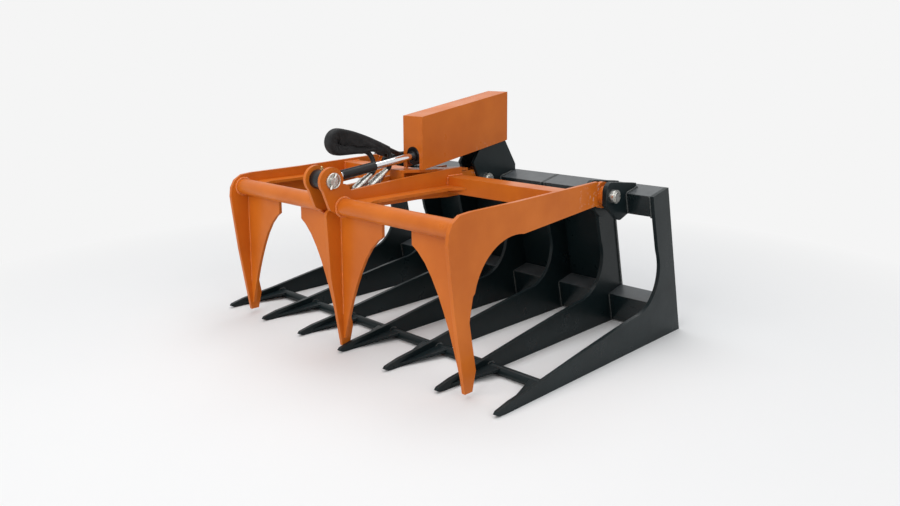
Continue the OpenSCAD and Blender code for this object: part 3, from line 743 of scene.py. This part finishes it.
    @cache
    def weave(self, name: str, base: Color, thread: Color, scale: float) -> Material:
        """Woven nylon of a hose cover, from crossed threads.

        Args:
            name: Its key.
            base: Colour between the threads.
            thread: Colour of the threads.
            scale: Threads per metre.

        Returns:
            The material.
        """
        n = Nodes(name)
        one, two = (n.wave(scale, 0.4, "Y", tilt) for tilt in (self.WEAVE_TILT, -self.WEAVE_TILT))
        cloth = n.math("MAXIMUM", one, two)
        fluff = n.noise(900.0, 4.0, 0.7)
        color = n.mix(n.spread(cloth, 0.3, 0.9), base, thread)
        faded = tuple(c * 2.2 + 0.01 for c in thread)
        color = n.mix(n.times(n.patches(self.WEAVE_WORN), 0.35), color, faded)
        bump = n.normal(fluff, 0.3, 0.0005, n.normal(cloth, 0.5, 0.0007))
        rough = n.spread(fluff, 0.2, 0.8, 0.62, 0.85)
        return n.finish(color, rough, bump, sheen=0.06, specular=0.22)

    @cache
    def floor(self) -> Material:
        """Plain pale floor that takes the shadow and fades into the white backdrop.

        Returns:
            The material.
        """
        n = Nodes("studio_floor")
        color = n.mix(n.patches(self.FLOOR_TONE), (0.835, 0.835, 0.835), (0.822, 0.822, 0.824))
        material = n.finish(color, 0.7, n.normal(n.noise(60.0, 3.0), 0.02, 0.001), specular=0.2)
        far = n.spread(n.vectors("LENGTH", n.coord), *self.FLOOR_FADE)
        glow = n.node("ShaderNodeEmission", {"Color": BACKDROP})
        parts = {0: n.times(far, seen_rays(n.tree)), 1: n.shader.outputs[0], 2: glow.outputs[0]}
        put(n.tree, n.out.inputs["Surface"], n.node("ShaderNodeMixShader", parts).outputs[0])
        return material


@dataclass(frozen=True)
class Stamp:
    """A small shape that Geometry Nodes repeats along paths, with its sizes in millimetres."""

    name: str
    kind: str
    counts: tuple[tuple[str, int], ...]
    sizes: tuple[str, ...]
    pitch: float
    least: Point = (1.0, 1.0, 1.0)
    most: Point = (1.0, 1.0, 1.0)
    smooth: bool = False

    @cache
    def group(self) -> NodeTree:
        """Makes the node tree once: a path, a shape at each step, then its material.

        Returns:
            The node group.
        """
        group = bpy.data.node_groups.new(self.name, "GeometryNodeTree")
        lengths = ((name, "Float") for name in ("Pitch", *self.sizes))
        inputs = (("Path", "Geometry"), *lengths, ("Seed", "Int"), ("Material", "Material"))
        for name, kind in inputs:
            group.interface.new_socket(name, in_out="INPUT", socket_type="NodeSocket" + kind)
        group.interface.new_socket("Mesh", in_out="OUTPUT", socket_type="NodeSocketGeometry")
        node = partial(add_node, group)
        given = node("NodeGroupInput").outputs
        stretch = {"Curve": given["Path"], "Length": given["Pitch"]}
        steps = node("GeometryNodeResampleCurve", stretch, mode="LENGTH")
        line = {"Curve": steps.outputs[0]}
        points = node("GeometryNodeCurveToPoints", line, mode="EVALUATED").outputs
        shape = node(self.kind, {**dict(self.counts), **{name: given[name] for name in self.sizes}})
        draw = {0: self.least, 1: self.most, "Seed": given["Seed"]}
        scale = node("FunctionNodeRandomValue", draw, data_type="FLOAT_VECTOR")
        placed = {"Points": points["Points"], "Instance": shape.outputs["Mesh"],
                  "Rotation": points["Rotation"], "Scale": scale.outputs[0]}
        copies = node("GeometryNodeInstanceOnPoints", placed)
        real = node("GeometryNodeRealizeInstances", {0: copies.outputs[0]})
        inputs = {0: real.outputs[0], "Shade Smooth": self.smooth}
        shade = node("GeometryNodeSetShadeSmooth", inputs)
        inputs = {0: shade.outputs[0], "Material": given["Material"]}
        paint = node("GeometryNodeSetMaterial", inputs)
        node("NodeGroupOutput", {0: paint.outputs[0]})
        return group

    def lay(self, name: str, paths: Paths, material: Material, sizes: Sequence[float],
            seed: int = 1) -> Object:
        """Repeats the shape along paths as one plain mesh.

        Args:
            name: Name of the piece.
            paths: Points of each path, in metres.
            material: Its material.
            sizes: The shape's sizes, in their order.
            seed: Seed of the small differences.

        Returns:
            The piece.
        """
        curve = bpy.data.curves.new(name + "_path", "CURVE")
        curve.dimensions = "3D"
        for path in paths:
            spline = curve.splines.new("POLY")
            spline.points.add(len(path) - 1)
            for point, place in zip(spline.points, path):
                point.co = (*place, 1.0)
        holder = new_object(name + "_path", curve)
        modifier = holder.modifiers.new(self.name, "NODES")
        modifier.node_group = self.group()
        values = {"Pitch": self.pitch * MM, "Seed": seed, "Material": material,
                  **{key: size * MM for key, size in zip(self.sizes, sizes)}}
        for item in modifier.node_group.interface.items_tree:
            if item.in_out == "INPUT" and item.name in values:
                modifier[item.identifier] = values[item.name]
        holder.update_tag()
        bpy.context.view_layer.update()
        depsgraph = bpy.context.evaluated_depsgraph_get()
        mesh = bpy.data.meshes.new_from_object(holder.evaluated_get(depsgraph))
        holder.modifiers.remove(modifier)
        bpy.data.objects.remove(holder)
        if not mesh.materials:
            mesh.materials.append(material)
        return new_object(name, mesh)


WELD_BEAD = Stamp("weld_bead", "GeometryNodeMeshUVSphere", (("Segments", 8), ("Rings", 5)),
                  ("Radius",), pitch=2.3, least=(0.86, 0.86, 0.42), most=(1.12, 1.12, 0.62),
                  smooth=True)
COUPLER_RIB = Stamp("coupler_ribs", "GeometryNodeMeshCylinder", (("Vertices", 32),),
                    ("Radius", "Depth"), pitch=2.6)


def mesh_object(name: str, build: Callable[[BMesh], None], material: Material,
                smooth: bool = True) -> Object:
    """Makes a mesh object in the scene's frame.

    Args:
        name: Name of the piece.
        build: Fills the mesh.
        material: Its material.
        smooth: Whether faces shade smooth.

    Returns:
        The object.
    """
    mesh = bpy.data.meshes.new(name)
    work = bmesh.new()
    build(work)
    bmesh.ops.recalc_face_normals(work, faces=work.faces)
    work.to_mesh(mesh)
    work.free()
    for face in mesh.polygons:
        face.use_smooth = smooth
    mesh.materials.append(material)
    return new_object(name, mesh)


def smooth_path(points: Sequence[Vector], steps: int) -> list[Vector]:
    """A smooth curve through points.

    Args:
        points: The route's points.
        steps: Steps between two points.

    Returns:
        The curve's points.
    """
    ends = [points[0] * 2 - points[1], *points, points[-1] * 2 - points[-2]]
    out: list[Vector] = []
    for a, b, c, d in zip(ends, ends[1:], ends[2:], ends[3:]):
        for k in range(steps):
            t = k / steps
            out.append(0.5 * (2 * b + (c - a) * t + (2 * a - 5 * b + 4 * c - d) * t * t
                              + (3 * b - a - 3 * c + d) * t ** 3))
    out.append(points[-1].copy())
    return out


def sweep(work: BMesh, path: Sequence[Vector],
          ring: Callable[[int, float], tuple[float, float]], sides: int) -> None:
    """Sweeps a closed ring along a path without twist, and closes its ends.

    Args:
        work: Mesh to add to.
        path: Points of the path.
        ring: Gives the offsets along side and up for a ring and an angle.
        sides: Points in a ring.
    """
    rows = []
    side = Vector((1, 0, 0))
    for i, place in enumerate(path):
        tangent = (path[min(i + 1, len(path) - 1)] - path[max(i - 1, 0)]).normalized()
        side = (side - tangent * side.dot(tangent)).normalized()
        up = tangent.cross(side)
        offsets = [ring(i, 2 * math.pi * k / sides) for k in range(sides)]
        rows.append([work.verts.new(place + side * a + up * b) for a, b in offsets])
    for low, high in zip(rows, rows[1:]):
        for k in range(sides):
            n = (k + 1) % sides
            work.faces.new((low[k], low[n], high[n], high[k]))
    work.faces.new(list(reversed(rows[0])))
    work.faces.new(rows[-1])


@dataclass(frozen=True)
class CameraRig:
    """The photo's camera, fitted to the model's corners."""

    place_mm: Point = (1538.91, -1490.84, 728.38)
    azimuth: float = 43.25
    elevation: float = 8.78
    focal_px: float = 780.03
    shift: tuple[float, float] = (-0.0300, -0.0800)
    picture_width: float = 900.0
    sensor_mm: float = 36.0
    clip: tuple[float, float] = (0.05, 60.0)

    def make(self) -> None:
        """Makes the camera the scene's own."""
        az, el = math.radians(self.azimuth), math.radians(self.elevation)
        forward = Vector((-math.sin(az) * math.cos(el), math.cos(az) * math.cos(el), -math.sin(el)))
        right = Vector((math.cos(az), math.sin(az), 0))
        axes = Matrix((right, right.cross(forward), -forward)).transposed().to_4x4()
        data = bpy.data.cameras.new("camera")
        data.sensor_width = self.sensor_mm
        data.lens = self.focal_px / self.picture_width * data.sensor_width
        data.shift_x, data.shift_y = self.shift
        data.clip_start, data.clip_end = self.clip
        camera = new_object("camera", data)
        camera.matrix_world = Matrix.Translation(Vector(self.place_mm) * MM) @ axes
        bpy.context.scene.camera = camera
        log.info("camera at %s", tuple(round(v, 3) for v in camera.location))


@dataclass(frozen=True)
class Lamp:
    """A soft square light, in metres and watts."""

    name: str
    place: Point
    target: Point
    size: float
    power: float
    color: Color

    def make(self) -> None:
        """Adds the light to the scene."""
        data = bpy.data.lights.new(self.name, "AREA")
        data.energy, data.size, data.color = self.power, self.size, self.color
        obj = new_object(self.name, data)
        obj.location = self.place
        obj.rotation_mode = "QUATERNION"
        aim = Vector(self.target) - Vector(self.place)
        obj.rotation_quaternion = aim.to_track_quat("-Z", "Y")
        log.info("lamp %s: %.0f W", self.name, self.power)


@dataclass
class Studio:
    """Floor, backdrop, lights and world."""

    finishes: Finishes

    FLOOR_RADIUS, FLOOR_SIDES = 9.0, 48
    SKY = (0.93, 0.955, 0.985)
    SKY_STRENGTH = 0.40
    LAMPS = (Lamp("key", (0.15, -3.5, 2.5), (0, 0, 0.3), 3.0, 76, (1.0, 0.996, 0.985)),
             Lamp("side", (3.3, -0.6, 2.2), (0, 0, 0.3), 2.4, 34, (1.0, 0.996, 0.985)),
             Lamp("top", (-0.4, 0.3, 3.6), (0, 0, 0.2), 3.0, 66, (0.98, 0.99, 1.0)))

    def make(self) -> None:
        """Makes the studio."""
        def disc(work: BMesh) -> None:
            angles = [2 * math.pi * k / self.FLOOR_SIDES for k in range(self.FLOOR_SIDES)]
            r = self.FLOOR_RADIUS
            rim = [(r * math.cos(a), r * math.sin(a), 0) for a in angles]
            work.faces.new([work.verts.new(place) for place in rim])
        floor = mesh_object("studio_floor", disc, self.finishes.floor(), smooth=False)
        log.info("floor: %.0f m across", 2 * self.FLOOR_RADIUS)
        for lamp in self.LAMPS:
            lamp.make()
        self.world()
        bpy.context.scene.view_settings.view_transform = "Standard"

    def world(self) -> None:
        """Makes the world: a soft sky for the object, the plain backdrop for what sees it."""
        world = bpy.data.worlds.new("world")
        world.use_nodes = True
        tree = world.node_tree
        sky = tree.nodes["Background"]
        put(tree, sky.inputs["Color"], self.SKY)
        put(tree, sky.inputs["Strength"], self.SKY_STRENGTH)
        plain = add_node(tree, "ShaderNodeBackground", {"Color": BACKDROP})
        parts = {0: seen_rays(tree), 1: sky.outputs[0], 2: plain.outputs[0]}
        blend = add_node(tree, "ShaderNodeMixShader", parts)
        put(tree, tree.nodes["World Output"].inputs["Surface"], blend.outputs[0])
        bpy.context.scene.world = world


@dataclass(frozen=True)
class Sleeve:
    """How the woven sleeve lies on the hoses: its points, lengths in millimetres and folds."""

    first_a: int = 12
    first_b: int = 7
    count: int = 15
    steps: int = 10
    sides: int = 36
    side_room: float = 1.4
    top_room: float = 1.9
    wall: float = 0.9
    full_sag: float = 30.0
    sags: tuple[float, ...] = (9.0, 15.0, 22.0, 30.0, 35.0, 27.0, 25.0, 24.0, 23.0, 21.5, 20.5,
                               20.0, 17.5, 13.5, 8.0)
    top_power: tuple[float, float] = (0.62, 0.8)
    fold_power: tuple[float, float] = (0.5, 0.85)
    narrowing: float = 0.46
    creases: tuple[Point, Point] = ((0.06, 0.83, 2.1), (0.05, 0.31, 5))
    ripple: Point = (0.16, 9.0, 0.45)

    def sag(self, i: int) -> float:
        """How far the sleeve hangs at a ring.

        Args:
            i: Ring number.

        Returns:
            The sag in millimetres.
        """
        k, t = divmod(i, self.steps)
        low, high = self.sags[k], self.sags[min(k + 1, len(self.sags) - 1)]
        return low + (high - low) * t / self.steps

    def section(self, i: int, angle: float, half: float, radius: float,
                inset: float) -> tuple[float, float]:
        """A point of a ring, as offsets across both hoses and away from the fold.

        Args:
            i: Ring number.
            angle: Angle round the ring.
            half: Half the width over the hoses, in metres.
            radius: Radius of a hose in millimetres.
            inset: How far inside the outer face, in millimetres.

        Returns:
            The two offsets in metres.
        """
        c, d = math.cos(angle), math.sin(angle)
        if d >= 0:
            across, rise = self.top_power
            height = (radius + self.top_room - inset) * MM
            return math.copysign(abs(c) ** across, c) * half, d ** rise * height
        across, fall = self.fold_power
        (one, pace, turn), (two, slow, twist) = self.creases
        crease = 1 + one * math.sin(i * pace + turn * c) + two * math.sin(i * slow + twist * angle)
        drop, sag = abs(d) ** fall, self.sag(i)
        narrow = 1 - self.narrowing * drop * min(1.0, sag / self.full_sag)
        size, down, along = self.ripple
        ripple = 1 + size * math.sin(down * drop + i * along) * drop
        width = half * narrow * ripple
        return math.copysign(abs(c) ** across, c) * width, -drop * (sag * crease - inset) * MM


@dataclass(frozen=True)
class Coupler:
    """Where the quick couplers carry ribs, in millimetres, degrees and shares of their length."""

    rib_radius: float = 11.9
    rib_width: float = 1.3
    drop: float = 34.0
    length: float = 74.0
    bands: tuple[tuple[float, float], ...] = ((0.385, 0.51), (0.60, 0.68), (0.76, 0.82))

    def paths(self, end: Point) -> list[list[Vector]]:
        """Paths of the ribs along one coupler's axis.

        Args:
            end: The hose's last point, in millimetres.

        Returns:
            The paths in metres.
        """
        a = math.radians(self.drop)
        x, y, z = end
        ahead, down = self.length * math.cos(a), self.length * math.sin(a)
        return [[S.at(x, y - share * ahead, z - share * down) for share in band]
                for band in self.bands]


@dataclass
class Hoses:
    """The two free hoses, their woven sleeve and the ribs of their couplers."""

    frame: dict
    finishes: Finishes

    RADIUS = 6.5
    SIDES = 14
    STEPS = 8
    SLEEVE = Sleeve()
    COUPLER = Coupler()
    WEAVE = ((0.0045, 0.0045, 0.005), (0.014, 0.014, 0.015), 420.0)
    FOLD = ((-685, 550), (-702, 553), (-715, 549.5), (-724.5, 540), (-728, 527), (-724.5, 514),
            (-715, 504.5), (-702, 501), (-680, 500.5))
    ROUTE_A = (
        (-64.5, -320.2, 492.1), (-64.5, -338, 490), (-64.5, -356, 485.5), (-64.5, -374, 479),
        (-64.5, -392, 472), (-64.5, -410, 466.5), (-64.5, -430, 463), (-64.5, -450, 461),
        (-63.5, -470, 461), (-62, -490, 462.5), (-60, -508, 466), (-57.5, -527, 473.5),
        (-55.5, -548, 484), (-54, -580, 501), (-54, -620, 522), (-54, -660, 541),
        *((-54, y, z) for y, z in FOLD),
        (-54, -655, 500), (-54, -637, 499), (-54, -620, 497), (-52, -606.5, 493.4),
        (-48.5, -596.6, 483.5), (-43.5, -593, 470), (-38, -595.6, 457), (-32.5, -600.6, 449.5),
        (-27, -606.7, 443.6), (-27, -615, 438))
    ROUTE_B = (
        (-64.5, -434.5, 479.5), (-64.5, -452, 477.6), (-63, -470, 476.8), (-59.5, -486, 477.8),
        (-53, -500, 480.5), (-46.5, -513, 484.5), (-42, -527, 489.5), (-40, -545, 497),
        (-40, -580, 513), (-40, -620, 530), (-40, -660, 544),
        *((-40, y, z) for y, z in FOLD),
        (-40, -655, 500.5), (-40, -620, 500.5), (-39, -590, 500.5), (-38, -567, 500.5),
        (-38, -553.5, 496.9), (-38, -543.6, 487), (-37.5, -540, 473.5), (-35, -542.5, 461.5),
        (-31, -547.5, 455), (-26.5, -553.7, 449.9), (-26.5, -562, 444.3))

    def hose(self, letter: str, route: Sequence[Point], worn: Object) -> None:
        """Makes one hose.

        Args:
            letter: a or b.
            route: Points of its route, as in the CAD source.
            worn: Made piece that goes with this hose; not used.
        """
        path = smooth_path([S.at(*p) for p in route], self.STEPS)

        def ring(i: int, a: float) -> tuple[float, float]:
            r = self.RADIUS * MM * (0.975 + 0.02 * math.sin(i * 1.9 + 3 * a) * math.sin(i * 0.37))
            return r * math.cos(a), r * math.sin(a)
        obj = mesh_object(f"hose_{letter}_cover", lambda work: sweep(work, path, ring, self.SIDES),
                          self.finishes.rubber())
        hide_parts(f"hose_{letter}")
        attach(obj, "barrel")

    def sleeve(self) -> Object:
        """Makes the loose woven sleeve round both hoses, folded back with them.

        Returns:
            The sleeve.
        """
        look = self.SLEEVE
        tail = look.first_a + look.count
        run_a = (*self.ROUTE_A[look.first_a:tail - 1], self.ROUTE_A[tail])
        run_b = self.ROUTE_B[look.first_b:look.first_b + look.count]
        a, b = (smooth_path([S.at(*p) for p in run], look.steps) for run in (run_a, run_b))
        middle = [(p + q) / 2 for p, q in zip(a, b)]
        last = len(middle) - 1

        def point(i: int, angle: float, inset: float) -> Vector:
            tangent = (middle[min(i + 1, last)] - middle[max(i - 1, 0)]).normalized()
            side = b[i] - a[i]
            half = side.length / 2 + (self.RADIUS + look.side_room - inset) * MM
            side = (side - tangent * side.dot(tangent)).normalized()
            across, out = look.section(i, angle, half, self.RADIUS, inset)
            return middle[i] + side * across + tangent.cross(side) * out

        def build(work: BMesh) -> None:
            angles = [2 * math.pi * k / look.sides for k in range(look.sides)]
            outer, inner = ([[work.verts.new(point(i, w, inset)) for w in angles]
                             for i in range(last + 1)] for inset in (0.0, look.wall))
            for k in range(look.sides):
                n = (k + 1) % look.sides
                for low, high in zip(outer, outer[1:]):
                    work.faces.new((low[k], low[n], high[n], high[k]))
                for low, high in zip(inner, inner[1:]):
                    work.faces.new((low[n], low[k], high[k], high[n]))
                work.faces.new((outer[0][n], outer[0][k], inner[0][k], inner[0][n]))
                work.faces.new((outer[-1][k], outer[-1][n], inner[-1][n], inner[-1][k]))
        obj = mesh_object("hose_sleeve", build, self.finishes.weave("sleeve_weave", *self.WEAVE))
        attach(obj, "barrel")
        log.info("sleeve: %d faces", len(obj.data.polygons))
        return obj

    def ribs(self) -> Object:
        """Makes the fine ribs round both couplers.

        Returns:
            The ribs.
        """
        routes = (self.ROUTE_A, self.ROUTE_B)
        paths = [path for route in routes for path in self.COUPLER.paths(route[-1])]
        sizes = (self.COUPLER.rib_radius, self.COUPLER.rib_width)
        obj = COUPLER_RIB.lay("coupler_ribs", paths, self.finishes.zinc(), sizes)
        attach(obj, "barrel")
        log.info("coupler ribs: %d faces", len(obj.data.polygons))
        return obj

    def make(self) -> None:
        """Makes the sleeve, the ribs and both hoses."""
        sleeve, ribs = self.sleeve(), self.ribs()
        self.hose("a", self.ROUTE_A, sleeve)
        self.hose("b", self.ROUTE_B, ribs)


@dataclass
class Grapple:
    """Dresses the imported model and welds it."""

    frame: dict
    finishes: Finishes

    CLAMP_LIFT = 1.2
    FRAME_LIFT = 1.0
    WING_WELD = range(96, 352, 8)
    STITCH, STITCH_STEP = 42.0, 100.0

    def material_for(self, node: str, slot: str) -> Material:
        """Chooses the material of a CAD node.

        Args:
            node: Node name.
            slot: Its slot in the record.

        Returns:
            The material.
        """
        f = self.finishes
        if node in ("top_tube", "lower_tube"):
            return f.paint("frame_tube", LOOKS.tube)
        if node == "rear_tube":
            return f.paint("clamp_tube", LOOKS.orange_tube)
        if node == "grease_fitting":
            return f.yellow_zinc()
        paints = {Slot.FRAME: ("frame", LOOKS.frame), Slot.CLAMP: ("clamp", LOOKS.clamp),
                  Slot.CYLINDER: ("cylinder", LOOKS.cylinder)}
        others = {Slot.ZINC: f.zinc, Slot.CHROME: f.chrome, Slot.SLEEVE: f.plastic,
                  Slot.BRONZE: f.bronze, Slot.HOSE: f.rubber}
        kind = Slot(slot)
        return f.paint(*paints[kind]) if kind in paints else others[kind]()

    def dress(self) -> None:
        """Gives every CAD node its material."""
        slots = {s["node"]: s["material_slot"] for s in self.frame["record"]["subparts"]}
        for name, obj in self.frame["nodes"].items():
            material = self.material_for(name, slots[name])
            if not obj.material_slots:
                obj.data.materials.append(material)
            for slot in obj.material_slots:
                slot.material = material
        log.info("dressed %d nodes", len(self.frame["nodes"]))

    def bead(self, name: str, body: str, paths: Paths, slot: Slot, radius: float,
             seed: int) -> None:
        """Lays weld beads that ride on a body.

        Args:
            name: Name of the piece.
            body: Body they ride on.
            paths: Points of each bead.
            slot: Paint slot.
            radius: Half width in millimetres.
            seed: Seed of the small differences.
        """
        base = LOOKS.clamp.base if slot is Slot.CLAMP else BLACK_WELD
        metal = self.finishes.weld("weld_" + slot.value, base)
        obj = WELD_BEAD.lay(name, paths, metal, (radius,), seed)
        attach(obj, body)
        log.info("%s: %d beads, %d faces", name, len(paths), len(obj.data.polygons))

    @staticmethod
    def arc(x: float, y: float, z: float, r: float, a: float, b: float, steps: int) -> list[Vector]:
        """Points round an X axis.

        Args:
            x: Place along X.
            y: Centre's depth.
            z: Centre's height.
            r: Radius.
            a: Start angle in degrees, from +Y towards +Z.
            b: End angle.
            steps: Number of steps.

        Returns:
            The points in metres.
        """
        angles = [math.radians(a + (b - a) * i / steps) for i in range(steps + 1)]
        return [S.at(x, y + r * math.cos(w), z + r * math.sin(w)) for w in angles]

    def clamp_welds(self) -> None:
        """Beads of the clamp: tube ends, rear tube and wings."""
        lift, inner = self.CLAMP_LIFT, S.middle_gap / 2
        start, stop = inner + S.arm_thickness, S.arm_spacing - S.arm_thickness / 2
        ends = [S.clamp_shift + side * x for side in (-1, 1) for x in (start + lift, stop - lift)]
        tube = [self.arc(x, S.front_tube_y, S.front_tube_z, S.front_tube_radius + lift, 0, 360, 48)
                for x in ends]
        self.bead("weld_front_tube", "clamp", tube, Slot.CLAMP, 4.0, 3)
        y0, y1 = S.rear_tube_y, S.rear_tube_y + S.rear_tube_depth
        z0, z1 = S.rear_tube_z, S.rear_tube_z + S.rear_tube_height
        whole = ((y0, z0), (y1, z0), (y1, z1), (y0, z1), (y0, z0))
        front = ((y0 - lift, z0 + 2), (y0 - lift, z1 - 2))
        top = ((y0 + 2, z1 + lift), (y1 - 2, z1 + lift))
        rear = [[S.at(S.clamp_shift + side * x, *p) for p in line] for side in (-1, 1)
                for x, line in ((stop - lift, whole), (start + lift, front), (start + lift, top),
                                (inner - lift, front), (inner - lift, top))]
        self.bead("weld_rear_tube", "clamp", rear, Slot.CLAMP, 3.2, 5)
        face = S.arm_thickness / 2 + lift
        front_y = S.wing_front - lift + 3
        wing = [[S.at(S.clamp_shift + x + side * face, front_y, z) for z in self.WING_WELD]
                for x, side in ((-S.arm_spacing, 1), (0, -1), (0, 1), (S.arm_spacing, -1))]
        self.bead("weld_wings", "clamp", wing, Slot.CLAMP, 3.6, 7)

    def frame_welds(self) -> None:
        """Beads of the lower frame: tubes, front bar, hinge ears and carrier."""
        lift = self.FRAME_LIFT
        top_u = S.frame_height / math.cos(math.radians(S.rear_lean))
        low_u = S.low_tube_depth * math.tan(math.radians(S.rear_lean)) + S.tube_wall
        tubes = ((top_u - S.top_tube_height, S.top_tube_height, S.top_tube_depth),
                 (low_u, S.low_tube_height, S.low_tube_depth))
        out = S.tine_thickness / 2 + lift
        faces = [S.tine_x(i) + side * out for i in range(S.tine_count) for side in (-1, 1)][1:-1]
        runs = [[S.at(x, *S.lean(*p))
                 for p in ((u - lift, 2), (u - lift, d + lift), (u + h - 2, d + lift))]
                for x in faces for u, h, d in tubes]
        radius, y = S.front_bar_radius, -S.front_bar_share * S.base_length
        bar = [self.arc(x, y, radius, radius + lift, -20, 200, 30) for x in faces]
        self.bead("weld_tubes", "frame", runs, Slot.FRAME, 3.0, 11)
        self.bead("weld_front_bar", "frame", bar, Slot.FRAME, 2.8, 13)
        self.bead("weld_ears", "frame", self.ear_paths(top_u), Slot.FRAME, 3.6, 17)
        self.bead("weld_carrier", "frame", self.carrier_paths(), Slot.FRAME, 3.2, 19)

    def ear_paths(self, top_u: float) -> list[list[Vector]]:
        """Paths up the top tube's front and over it, on both faces of each ear.

        Args:
            top_u: Upper face of the top tube along the leaning edge.

        Returns:
            The paths in metres.
        """
        lift, inner = self.FRAME_LIFT, S.ear_gap / 2
        foot, near, far = top_u - S.top_tube_height + 4, S.top_tube_depth + lift, 24.0
        corners = [S.lean(u, v) for u, v in ((foot, near), (top_u - 2, near),
                                             (top_u + lift, near - 3), (top_u + lift, far))]
        ear = S.ear_thickness
        pairs = ((-S.arm_spacing, ear), (0.0, S.tower_thickness), (S.arm_spacing, ear))
        return [[S.at(S.clamp_shift + middle + side * face, *p) for p in corners]
                for middle, width in pairs for side in (-1, 1)
                for face in (inner - lift, inner + width + lift)]

    def carrier_paths(self) -> list[list[Vector]]:
        """Paths down the carrier plate's sides and in stitches along its ledge.

        Returns:
            The paths in metres.
        """
        half = (S.tine_count - 3) * S.pitch / 2 + S.tine_thickness / 2
        ends = (S.carrier_bottom + 4, S.carrier_top - 4)
        paths = [[S.at(side * (half + 0.6), *S.lean(u, 0.5)) for u in ends] for side in (-1, 1)]
        seam = S.lean(S.carrier_bottom + 1, -S.carrier_thickness - 1)
        x = -half + 20
        while x + self.STITCH < half:
            paths.append([S.at(t, *seam) for t in (x, x + self.STITCH)])
            x += self.STITCH_STEP
        return paths

    def make(self) -> None:
        """Dresses the model and adds the welds."""
        self.dress()
        self.clamp_welds()
        self.frame_welds()


def main() -> None:
    """Builds the whole scene."""
    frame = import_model()
    finishes = Finishes()
    CameraRig().make()
    Hoses(frame, finishes).make()
    Grapple(frame, finishes).make()
    Studio(finishes).make()


if __name__ == "__main__":
    main()
